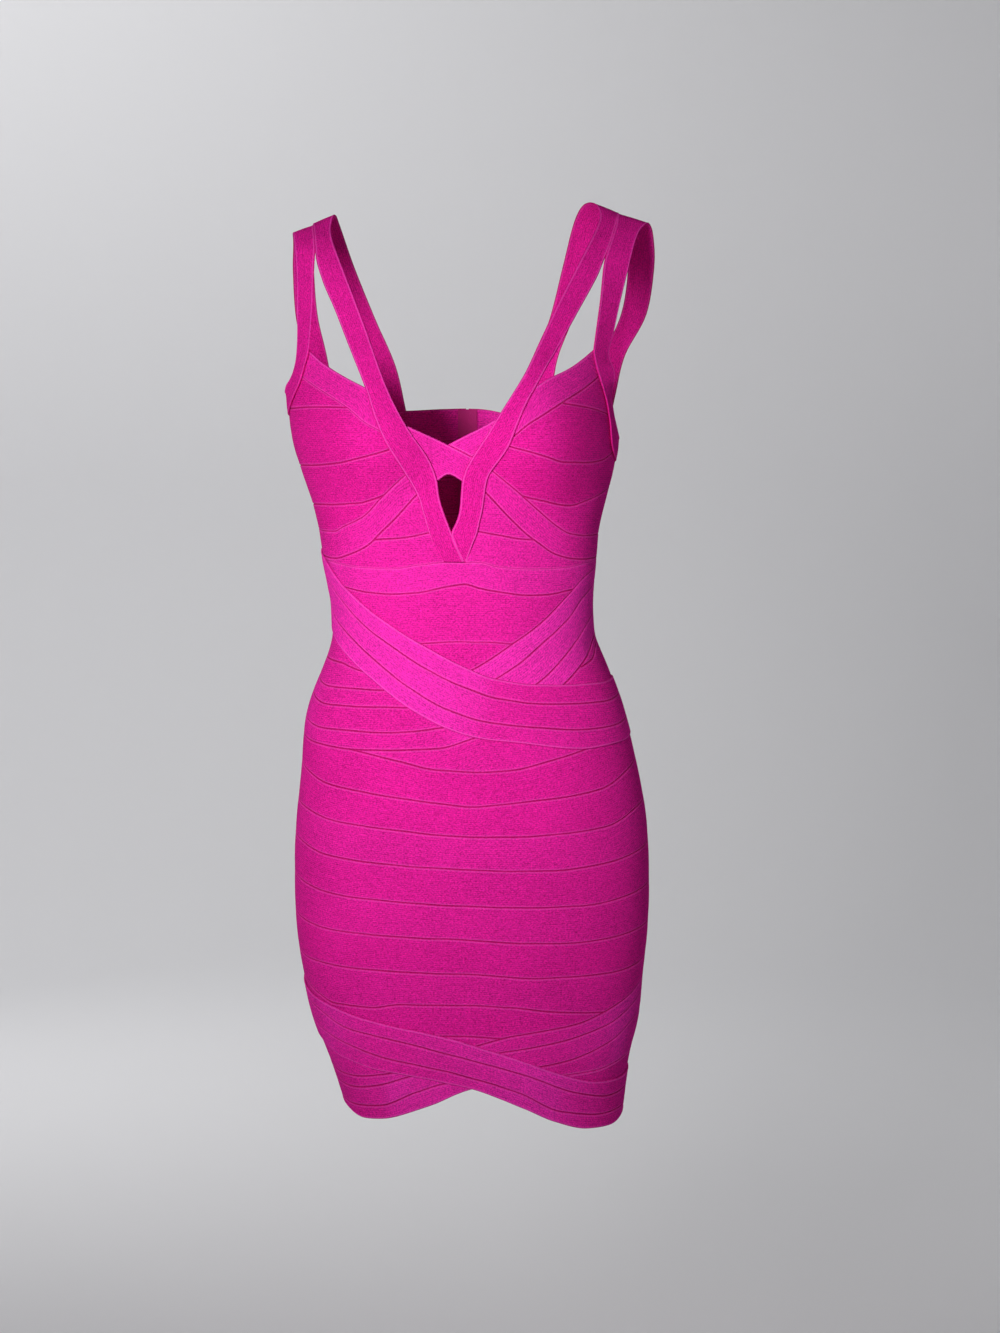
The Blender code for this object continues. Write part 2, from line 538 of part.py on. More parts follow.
# ---------------------------------------------------------------------- pieces
def piece_columns(upper_lines, lower_lines, middle):
    """Angles of a piece's columns, with its corners and its two ends."""
    def room(angle):
        return (min(seam_height(line, angle) for line in upper_lines)
                - max(seam_height(line, angle) for line in lower_lines))

    def tip(inside, outside):
        for _ in range(30):
            halfway = (inside + outside) / 2
            if room(halfway) > SMALLEST_TIP:
                inside = halfway
            else:
                outside = halfway
        return inside

    ends = []
    for sign in (-1, 1):
        angle = middle
        while abs(angle) < SIDE_SEAM and room(angle + sign) > SMALLEST_TIP:
            angle += sign
        angle = max(-SIDE_SEAM, min(SIDE_SEAM, angle))
        ends.append(angle if abs(angle) == SIDE_SEAM else tip(angle, angle + sign))
    start, stop = ends
    columns = {start, stop}
    count = int(2 * SIDE_SEAM / COLUMN_STEP)
    shortest = COLUMN_STEP / 12
    for i in range(count + 1):
        angle = -SIDE_SEAM + i * COLUMN_STEP
        if start + shortest < angle < stop - shortest:
            columns.add(angle)
    for lines in (upper_lines, lower_lines):
        columns |= corners(lines, start, stop, shortest)
    return sorted(columns)


def corners(lines, start, stop, shortest):
    """Angles at which two of the lines that bound a piece cross."""
    found = set()
    for i, first in enumerate(lines):
        for second in lines[i + 1:]:
            step = COLUMN_STEP / 8
            angle = start
            while angle + step < stop:
                before = seam_height(first, angle) - seam_height(second, angle)
                after = seam_height(first, angle + step) - seam_height(second, angle + step)
                if before * after < 0:
                    place = angle + step * before / (before - after)
                    if start + shortest < place < stop - shortest:
                        found.add(place)
                angle += step
    return found


def half_gap(line, angle):
    """Half of the seam gap, measured straight up, where the line may slope."""
    run = (on_body(angle + 1, seam_height(line, angle)) - on_body(angle - 1, seam_height(line, angle))).length
    rise = seam_height(line, angle + 1) - seam_height(line, angle - 1)
    return SEAM_GAP / 2 * math.hypot(run, rise) / run


def front_piece(name, layer, middle, upper_lines, lower_lines):
    """Front panel between seam lines, whose side ends stop short of the side seams."""
    columns = piece_columns(upper_lines, lower_lines, middle)
    edges = []
    for angle in columns:
        top_line = min(upper_lines, key=lambda line: seam_height(line, angle))
        low_line = max(lower_lines, key=lambda line: seam_height(line, angle))
        top = seam_height(top_line, angle) - half_gap(top_line, angle)
        low = seam_height(low_line, angle) + half_gap(low_line, angle)
        if abs(angle) == SIDE_SEAM:
            angle -= math.copysign(side_inset(top), angle)
        edges.append((angle, top, low))
    tallest = max(top - low for _, top, low in edges)
    count = math.ceil(tallest / (CUP_ROW_HEIGHT if edges[0][1] > CUPS_END else ROW_HEIGHT))
    rows = []
    for j in range(count + 1):
        share = j / count
        rows.append([raised(angle, top + (low - top) * share, layer * LAYER_STEP)
                     for angle, top, low in edges])
    return cloth_piece(name, rows)


def side_inset(height):
    """Angle from a side seam to the edge of a piece."""
    return math.degrees(SIDE_GAP / 2 / on_body(SIDE_SEAM, height).x)


def back_height(edge, angle):
    """Height of a back strip's edge at 90 to 180 degrees on either side."""
    _, left, centre, right = next(row for row in BACK_EDGES if row[0] == edge)
    side = right if angle > 0 else left
    share = (abs(angle) - SIDE_SEAM) / SIDE_SEAM
    return (side + (centre - side) * math.sin(share * math.pi / 2) ** 1.5) * MM


def slot_angle(height):
    """Angle from the centre back to the edge of the slot over the zip, or of the seam below it."""
    half = ZIP_SLOT / 2 if height > ZIP_END else SEAM_GAP / 2
    return math.degrees(half / on_body(180, height).y)


def back_piece(side, name, upper, lower):
    """Piece of one side of the back, with a sewn groove between its strips."""
    names = [row[0] for row in BACK_EDGES]
    edges = names[names.index(upper):names.index(lower) + 1]
    rows = []
    for k, edge in enumerate(edges):
        if edge == "neck_fold":
            drops = ((0.0, 0.0),)
        elif 0 < k < len(edges) - 1:
            drops = ((GROOVE_WIDTH / 2, 0.0), (0.0, -GROOVE_DEPTH), (-GROOVE_WIDTH / 2, 0.0))
        elif k == 0:
            drops = ((-SEAM_GAP / 2, 0.0),)
        else:
            drops = ((SEAM_GAP / 2, 0.0),)
        for lift, depth in drops:
            row = []
            for i in range(BACK_COLUMNS + 1):
                angle = SIDE_SEAM * (1 + i / BACK_COLUMNS)
                if i == 0:
                    angle += side_inset(back_height(edge, side * angle))
                if i == BACK_COLUMNS:
                    angle -= slot_angle(back_height(edge, angle) + lift)
                row.append(raised(side * angle, back_height(edge, side * angle) + lift, depth))
            rows.append(row if side > 0 else row[::-1])
    return cloth_piece(f"back_{name}_{'right' if side > 0 else 'left'}", rows)


def rail(points, rows_between):
    """Smooth curve through points, as a list of points."""
    curve = []
    for i in range(len(points) - 1):
        before = points[max(i - 1, 0)]
        start, stop = points[i], points[i + 1]
        after = points[min(i + 2, len(points) - 1)]
        for j in range(rows_between):
            t = j / rows_between
            curve.append(0.5 * (2 * start + (stop - before) * t
                                + (2 * before - 5 * start + 4 * stop - after) * t * t
                                + (3 * start - before - 3 * stop + after) * t ** 3))
    curve.append(points[-1])
    return curve


def strap(name, table):
    """Strap whose two edges and middle line run through the rows of its table."""
    neck_edge, middle_line, arm_edge = [], [], []
    for kind, near, far in table:
        if kind == "body":
            first = raised(near[0], near[1] * MM, LAYER_STEP)
            last = raised(far[0], far[1] * MM, LAYER_STEP)
            halfway = raised((near[0] + far[0]) / 2, (near[1] + far[1]) / 2 * MM, LAYER_STEP + STRAP_CROWN)
        else:
            first, last = Vector(near) * MM, Vector(far) * MM
            halfway = (first + last) / 2
        if kind == "side":
            angle = math.degrees(math.atan2(halfway.x, -halfway.y))
            halfway = raised(angle, halfway.z, LAYER_STEP + STRAP_CROWN)
        neck_edge.append(first)
        middle_line.append(halfway)
        arm_edge.append(last)
    rails = [rail(line, STRAP_ROWS_BETWEEN) for line in (neck_edge, middle_line, arm_edge)]
    rows = [list(points) for points in zip(*rails)]
    rows.reverse()
    if name.endswith("left"):
        rows = [row[::-1] for row in rows]
    return cloth_piece(name, rows)


def zip_tape():
    """Tape behind the slot, which holds the two backs together."""
    edges = [centre * MM for _, _, centre, _ in BACK_EDGES]
    heights = [ZIP_TOP] + [height for height in edges if TAPE_END < height < ZIP_TOP] + [TAPE_END]
    rows = []
    for height in heights:
        half = math.degrees(TAPE_HALF_WIDTH / on_body(180, height).y)
        rows.append([raised(180 + half * place, height, -WALL - TAPE_CLEARANCE) for place in (-1, -0.5, 0, 0.5, 1)])
    return cloth_piece("zip_tape", rows, TAPE_WALL)


def zip_axis():
    """Place of the axis on which the pull tab swings, the middle of its top bar."""
    return Vector((0, slider_back() + SLIDER_SIZE.y + AXIS_REACH, SLIDER_TOP - AXIS_DROP))


def slider_back():
    """Depth of the slider's inner face, clear of the cloth along its length."""
    heights = (SLIDER_TOP, SLIDER_TOP - SLIDER_SIZE.z)
    return max(on_body(180, height).y for height in heights) + SEAM_GAP


def zip_slider():
    """Slider plate with a bridge that stands on it."""
    bpy.ops.mesh.primitive_cube_add(size=1)
    plate = bpy.context.object
    plate.name = "zip_slider"
    plate.dimensions = SLIDER_SIZE
    bpy.ops.object.transform_apply(location=False, rotation=False, scale=True)
    plate.location = (0, slider_back() + SLIDER_SIZE.y / 2, SLIDER_TOP - SLIDER_SIZE.z / 2)
    move_to_dress(plate, metal)
    rounding = plate.modifiers.new("rounding", "BEVEL")
    rounding.width = SLIDER_ROUNDING
    rounding.segments = 2
    bridge = tube("zip_bridge", bridge_points(), BRIDGE_RADIUS)
    joined = plate.modifiers.new("bridge", "BOOLEAN")
    joined.operation = "UNION"
    joined.object = bridge
    return plate


def bridge_points():
    """Route of the bridge: out of the plate, down over the pull's bar and back."""
    face = slider_back() + SLIDER_SIZE.y
    upper, lower = zip_axis().z + BRIDGE_HALF, zip_axis().z - BRIDGE_HALF
    return [Vector((0, face - BRIDGE_ROOT, upper)), Vector((0, face + BRIDGE_REACH, upper)),
            Vector((0, face + BRIDGE_REACH, lower)), Vector((0, face - BRIDGE_ROOT, lower))]


def tube(name, points, radius):
    """Round bar along points, as a closed mesh that cuts or joins and isn't built itself."""
    path = bpy.data.curves.new(name, "CURVE")
    path.dimensions = "3D"
    path.bevel_depth = radius
    path.bevel_resolution = 2
    path.use_fill_caps = True
    spline = path.splines.new("POLY")
    spline.points.add(len(points) - 1)
    for place, point in zip(spline.points, points):
        place.co = (*point, 1)
    wire = bpy.data.objects.new(name + "_path", path)
    bpy.context.scene.collection.objects.link(wire)
    bpy.context.view_layer.update()
    mesh = bpy.data.meshes.new_from_object(wire.evaluated_get(bpy.context.evaluated_depsgraph_get()))
    bpy.data.objects.remove(wire, do_unlink=True)
    model = bmesh.new()
    model.from_mesh(mesh)
    bmesh.ops.remove_doubles(model, verts=model.verts, dist=0.01 * MM)
    model.to_mesh(mesh)
    model.free()
    bar = bpy.data.objects.new(name, mesh)
    helpers.objects.link(bar)
    bar.hide_render = True
    bar.display_type = "WIRE"
    return bar


def zip_pull():
    """Pull tab, a flat outline with an eye, whose origin is on the bridge's axis."""
    outline = bpy.data.curves.new("zip_pull", "CURVE")
    outline.dimensions = "2D"
    outline.fill_mode = "BOTH"
    outline.extrude = PULL_WALL / 2
    for half_outline in (PULL_OUTLINE, PULL_EYE):
        loop = [(-x, y) for x, y in half_outline] + list(half_outline[::-1])
        spline = outline.splines.new("POLY")
        spline.points.add(len(loop) - 1)
        spline.use_cyclic_u = True
        for place, (x, y) in zip(spline.points, loop):
            place.co = (x * MM, y * MM, 0, 1)
    pull = bpy.data.objects.new("zip_pull", outline)
    pull.rotation_euler = (math.radians(90), 0, 0)
    pull.location = zip_axis()
    dress.objects.link(pull)
    outline.materials.append(metal)
    return pull


def move_to_dress(piece, finish):
    """Put a piece in the dress's collection and give it its finish."""
    for collection in list(piece.users_collection):
        collection.objects.unlink(piece)
    dress.objects.link(piece)
    piece.data.materials.append(finish)


def material(name, colour, roughness, metallic):
    """Plain finish for one kind of piece."""
    finish = bpy.data.materials.new(name)
    finish.use_nodes = True
    shader = finish.node_tree.nodes["Principled BSDF"]
    shader.inputs["Base Color"].default_value = colour
    shader.inputs["Roughness"].default_value = roughness
    shader.inputs["Metallic"].default_value = metallic
    return finish


# ----------------------------------------------------------------------- build
for leftover in list(bpy.data.objects):
    bpy.data.objects.remove(leftover, do_unlink=True)

dress = bpy.data.collections.new("bodycon_dress")
helpers = bpy.data.collections.new("helpers")
bpy.context.scene.collection.children.link(dress)
bpy.context.scene.collection.children.link(helpers)
cloth = material("bandage_knit", PINK, 0.62, 0.0)
metal = material("zip_metal", METAL, 0.35, 0.4)

for piece_name, piece_layer, piece_angle, uppers, lowers in FRONT_PIECES:
    front_piece(piece_name, piece_layer, piece_angle, uppers, lowers)
for side_sign in (-1, 1):
    for back_name, back_upper, back_lower in BACK_PIECES:
        back_piece(side_sign, back_name, back_upper, back_lower)
for strap_name, strap_table in STRAPS.items():
    strap(strap_name, strap_table)
zip_tape()
zip_slider()
zip_pull()
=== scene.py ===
"""Dressed model of a bandage-knit bodycon mini dress, filled out as it is worn.

Every strip of the dress is a thin shell on one rounded body surface. The
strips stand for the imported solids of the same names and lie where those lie.
Units are metres, +Z up, the front faces -Y, and the origin lies between the
shoulder straps at shoulder height. Left and right are the viewer's.
"""

from __future__ import annotations

import logging
import math
import zlib
from dataclasses import dataclass, field
from enum import Enum

import bmesh
import bpy
import numpy as np
from bpy.types import Material, Mesh, Node, NodeSocket, NodeTree, Object
from mathutils import Matrix, Vector

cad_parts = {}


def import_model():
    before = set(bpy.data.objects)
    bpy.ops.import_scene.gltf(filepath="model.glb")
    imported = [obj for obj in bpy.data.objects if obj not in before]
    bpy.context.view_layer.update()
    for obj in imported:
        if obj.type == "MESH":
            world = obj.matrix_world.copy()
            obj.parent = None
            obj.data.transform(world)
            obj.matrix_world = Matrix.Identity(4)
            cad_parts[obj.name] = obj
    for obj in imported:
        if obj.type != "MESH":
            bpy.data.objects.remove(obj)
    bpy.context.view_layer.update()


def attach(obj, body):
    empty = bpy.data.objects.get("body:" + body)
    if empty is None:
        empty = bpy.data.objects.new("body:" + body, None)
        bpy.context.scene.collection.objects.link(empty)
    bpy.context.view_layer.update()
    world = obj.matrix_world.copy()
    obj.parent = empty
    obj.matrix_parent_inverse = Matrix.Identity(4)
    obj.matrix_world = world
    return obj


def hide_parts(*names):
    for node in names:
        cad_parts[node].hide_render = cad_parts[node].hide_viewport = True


log = logging.getLogger("bodycon_dress")

MM = 0.001
SIDE_SEAM = 90.0  # degrees from the front centre to a side seam
WALL = 0.9 * MM  # thickness of a strip
SEAM_GAP = 0.02 * MM  # distance between two strips at a seam
LAYER_STEP = 1.5 * MM  # how far a strip that lies on others stands out
TUCK = 2.2  # degrees that a strip runs in under a strap
TUCK_DROP = 4.0 * MM  # how far a strip runs in under a crossing wrap

Pair = tuple[float, float]
Triple = tuple[float, float, float]
Colour = tuple[float, float, float, float]
Array = np.ndarray

# Level sections of the body surface, in millimetres: the height, the half
# widths at the viewer's left and right, and the depths at front and back.
SECTIONS = (
    # height, left, right, front, back
    (-60, 152, 150, 62, 66),
    (-100, 152, 138, 80, 84),
    (-127, 155, 131, 90, 91),
    (-168, 162, 135, 98, 96),
    (-208, 158, 138, 102, 97),
    (-232, 151, 135, 101, 94),
    (-268, 139, 126, 97, 88),
    (-290, 134, 121, 92, 84),
    (-318, 130, 119, 87, 79),
    (-355, 123, 116, 83, 75),
    (-382, 121.5, 117, 83, 75),
    (-410, 129, 127.5, 87, 80),
    (-439, 141, 139, 93, 88),
    (-465, 148, 147, 98, 96),
    (-511, 151.5, 158, 104, 110),
    (-553, 156, 165.5, 107, 121),
    (-590, 158, 168, 107, 126),
    (-623, 158, 168.5, 106, 124),
    (-660, 156, 167, 104, 117),
    (-698, 150, 163, 102, 108),
    (-735, 142, 160, 99, 100),
    (-778, 126, 150, 95, 92),
    (-825, 112, 144, 91, 86),
    (-865, 106, 141, 89, 84),
)

# Seam lines, each from the viewer's left to the right as (angle in degrees
# from the front centre, height in millimetres).
SEAMS = {
    # bust, left
    "armhole_left": ((-90, -184), (-82, -177), (-76, -162), (-74.5, -146), (-73, -129), (-71, -60)),
    "strap_edge_left": (
        (-66, -90), (-57, -122), (-53, -138), (-45, -165), (-42, -184), (-39, -201), (-35, -220),
        (-28, -240), (-24, -256), (-21, -270), (-19.3, -284), (-18, -298), (-14, -316), (-12, -330)),
    "sweetheart_top_left": ((-76, -124), (-72, -129), (-62, -144), (-53, -156), (-45, -165), (-40, -170)),
    "sweetheart_low_left": ((-80, -143), (-73, -152), (-51, -183), (-44, -196), (-37, -204)),
    "cup_1_left": ((-90, -180), (-64, -181), (-50, -183), (-44, -184)),
    "cup_2_left": ((-90, -231), (-66, -232), (-57, -231), (-48, -227), (-35, -220), (-30, -216)),
    "cup_3_left": ((-90, -266), (-64, -267), (-51, -266), (-45, -263), (-30, -252)),
    "cross_top_left": (
        (-90, -287), (-80, -290), (-67, -291), (-61, -287), (-50, -278), (-40, -261), (-28, -241),
        (-20, -228)),
    "cross_low_left": (
        (-90, -312), (-81, -313.5), (-69, -315), (-58, -310), (-50, -303), (-43, -292), (-35, -279),
        (-24, -259), (-16, -246)),
    # bust, right
    "armhole_right": (
        (64, -60), (68, -130), (69.5, -149), (72, -167), (74, -187), (75.5, -204), (79, -216), (84, -222),
        (90, -224)),
    "strap_edge_right": (
        (3, -314), (7.5, -292), (10, -267), (11, -250), (12.5, -241), (17, -231), (21, -217), (23, -209),
        (27, -195), (31, -181), (35, -164), (41, -149), (50, -122), (62, -87)),
    "sweetheart_top_right": ((31, -168), (35, -164), (40, -158), (50, -149), (66, -130), (70, -125)),
    "sweetheart_low_right": (
        (19, -214), (23, -209), (30, -198), (39, -187), (47, -177), (66, -155), (72, -147)),
    "cup_1_right": ((40, -177), (47, -179), (60, -182), (76, -188)),
    "cup_2_right": (
        (17, -213), (21, -216), (30, -221), (39, -226), (47, -230), (57, -230), (66, -228), (80, -217)),
    "cup_3_right": ((20, -253), (26, -258), (36, -263), (53, -268), (61, -264), (80, -253), (90, -249)),
    "cross_top_right": (
        (9, -229), (14, -238), (27, -257), (37, -272), (48, -286), (56, -293), (65, -295), (90, -293)),
    "cross_low_right": (
        (5, -247), (11, -257), (23, -278), (33, -293), (39, -300), (49, -311), (58, -315), (67, -316),
        (90, -313)),
    # centre of the bust
    "neck_edge_left": (
        (-50, -112), (-43, -140), (-34, -177), (-28, -197), (-22, -212), (-16, -229), (-14, -246),
        (-11, -267), (-7, -290), (2, -325)),
    "neck_edge_right": (
        (-7, -291), (-5, -268), (-2, -246), (-1, -240), (2, -227), (6, -217), (14, -194), (20, -181),
        (29, -155), (40, -123)),
    "gusset_top_left": ((-36, -188), (-28, -197), (-8, -215), (14, -235)),
    "gusset_top_right": ((-28, -236), (-8, -215), (14, -194), (20, -188)),
    "keyhole_top": ((-18, -251), (-13, -246), (-8, -241), (-2, -246), (2, -250)),
    # waist
    "underbust_top": (
        (-90, -314.5), (-80, -316.5), (-68, -319.5), (-55, -323), (-40, -324), (-25, -320), (-9, -318),
        (9, -318), (20, -322), (35, -324), (45, -324), (56, -323), (68, -320), (90, -315)),
    "underbust_low": (
        (-75, -338), (-63, -342), (-54, -345), (-41, -346), (-29, -345), (-9, -339), (0, -337), (9, -341),
        (20, -344), (36, -347), (46, -347), (61, -343), (75, -340)),
    # wrap that lies on top, viewer's left waist to right hip
    "over_0": (
        (-90, -306), (-79, -315), (-67, -338), (-50, -364), (-34, -382), (-10, -403), (4, -413),
        (18, -421), (38, -426), (64, -427), (90, -423)),
    "over_1": (
        (-90, -325), (-76, -341), (-60, -368), (-50, -382), (-23, -411), (1, -429), (18, -438),
        (47, -444), (65, -444), (90, -437)),
    "over_2": (
        (-90, -352), (-70, -377), (-50, -403), (-32, -426), (-11, -446), (8, -457), (27, -462),
        (56, -467), (72, -465), (90, -457)),
    "over_3": (
        (-90, -374), (-69, -396), (-53, -416), (-31, -444), (-11, -463), (5, -472), (29, -478),
        (54, -484), (72, -481), (90, -474)),
    # wrap that runs below it, viewer's left hip to right waist
    "under_0": (
        (-90, -420), (-69, -430), (-46, -431), (-20, -427), (4, -413), (29, -389), (45, -370), (61, -344),
        (69, -332), (90, -318)),
    "under_1": (
        (-90, -434), (-65, -446), (-31, -446), (-10, -440), (5, -431), (28, -410), (47, -386), (59, -369),
        (69, -352), (90, -335)),
    "under_2": (
        (-90, -455), (-66, -467), (-38, -468), (-11, -463), (10, -452), (38, -425), (63, -389),
        (76, -371), (90, -360)),
    "under_3": (
        (-90, -472), (-69, -481), (-46, -484), (-13, -481), (5, -472), (25, -457), (50, -427), (67, -403),
        (80, -388), (90, -382)),
    # skirt
    "skirt_0": (
        (-62, -480), (-45, -487), (-31, -493), (-13, -500), (8, -502), (24, -500), (43, -491),
        (64, -478)),
    "skirt_1": (
        (-90, -496), (-76, -505), (-61, -516), (-38, -523), (-14, -529), (4, -532), (30, -528),
        (57, -521), (73, -506), (90, -492)),
    "skirt_2": (
        (-90, -532), (-75, -539), (-57, -548), (-29, -554), (7, -559), (28, -559), (58, -554), (74, -541),
        (90, -532)),
    "skirt_3": (
        (-90, -563), (-74, -571), (-60, -579), (-43, -583), (17, -589), (39, -590), (59, -586),
        (90, -571)),
    "skirt_4": (
        (-90, -598), (-73, -607), (-60, -613), (-43, -616), (23, -622), (49, -623), (80, -613),
        (90, -609)),
    "skirt_5": ((-90, -634), (-62, -646), (-44, -648), (-8, -650), (48, -656), (81, -649), (90, -645)),
    "skirt_6": ((-90, -670), (-69, -678), (-45, -680), (4, -682), (40, -687), (61, -687), (90, -678)),
    "skirt_7": (
        (-90, -692), (-69, -709), (-60, -715), (-45, -715), (-29, -710), (3, -710), (20, -712),
        (41, -718), (62, -723), (70, -725)),
    # hem wrap that lies on top, viewer's left side to right hem
    "hem_over_0": (
        (-90, -700), (-71, -713), (-59, -719), (-46, -726), (-11, -738), (6, -747), (26, -759),
        (45, -775), (62, -787), (76, -789), (90, -784)),
    "hem_over_1": (
        (-90, -712), (-71, -723), (-56, -736), (-30, -745), (-3, -757), (28, -773), (55, -796),
        (70, -803), (90, -799)),
    "hem_over_2": (
        (-90, -730), (-66, -746), (-48, -757), (-16, -768), (-3, -773), (28, -791), (48, -811),
        (69, -819), (90, -817)),
    "hem_over_3": (
        (-90, -748), (-74, -757), (-63, -766), (-47, -772), (-28, -776), (4, -787), (31, -806),
        (45, -820), (60, -830), (72, -832), (90, -823)),
    # hem wrap that runs below it, viewer's left hem to right side
    "hem_under_0": (
        (-90, -777), (-62, -783), (-45, -778), (-10, -756), (6, -747), (21, -740), (52, -730), (68, -716),
        (81, -702), (90, -695)),
    "hem_under_1": (
        (-90, -790), (-65, -794), (-46, -788), (-31, -778), (-10, -766), (17, -754), (40, -748),
        (62, -736), (77, -719), (90, -709)),
    "hem_under_2": (
        (-90, -806), (-66, -811), (-45, -806), (-26, -791), (-11, -782), (15, -772), (48, -765),
        (66, -751), (76, -736), (90, -724)),
    "hem_under_3": (
        (-90, -812), (-73, -818), (-60, -822), (-48, -820), (-18, -802), (4, -787), (30, -779),
        (59, -777), (77, -770), (90, -764)),
}

# Short seams that end on other seams: their heights in millimetres.
SHORT_SEAMS = {
    "centre_seam_left": ((-46, -298), (-36, -297), (-20, -292)),
    "centre_seam_right": ((8, -291), (19, -294), (29, -297), (37, -298)),
    "waist_seam": ((-26, -390), (-12, -388.5), (0, -388), (14, -388.5), (26, -390)),
    "low_seam": ((-10, -738), (7, -739), (20, -741)),
    "hip_seam_left": ((-90, -405), (-66, -409), (-60, -412), (-53, -415.5)),
    "hip_seam_right": ((62, -412), (70, -406), (78.6, -395), (90, -386)),
}

# Where the strips of the back meet the side seams and the centre back: the
# name of the lower edge and its height in millimetres at the viewer's left
# side seam, at the centre back and at the viewer's right side seam.
BACK_EDGES = (
    # name, left, centre, right
    ("neck", -186, -176, -226),
    ("neck_band", -231, -206, -249),
    ("bodice_1", -266, -241, -271),
    ("bodice_2", -287, -276, -293),
    ("bodice_3", -311, -311, -315),
    ("waist_1", -340, -338, -341),
    ("waist_2", -361, -365, -366),
    ("waist_3", -384, -392, -388),
    ("waist_4", -420, -424, -423),
    ("hip_1", -455, -456, -457),
    ("hip_2", -472, -488, -474),
    ("hip_3", -496, -521, -492),
    ("hip_4", -532, -556, -532),
    ("seat_1", -563, -591, -571),
    ("seat_2", -598, -626, -609),
    ("seat_3", -634, -661, -645),
    ("seat_4", -670, -696, -678),
    ("seat_5", -700, -731, -709),
    ("hem_1", -748, -765, -764),
    ("hem_2", -777, -795, -799),
    ("hem_3", -812, -826, -823),
)

# Back pieces of each side, with the edges that bound them.
BACK_PIECES = (
    # node, upper edge, lower edge
    ("neck_band", "neck", "neck_band"),
    ("bodice", "neck_band", "bodice_3"),
    ("waist", "bodice_3", "waist_4"),
    ("seat", "waist_4", "seat_5"),
    ("hem", "seat_5", "hem_3"),
)


class StrapLies(Enum):
    """Where a run of a strap lies."""

    ON_BODY = "on the body"
    BESIDE_BODY = "its edges in the air, its middle on the body"
    IN_AIR = "in the air"


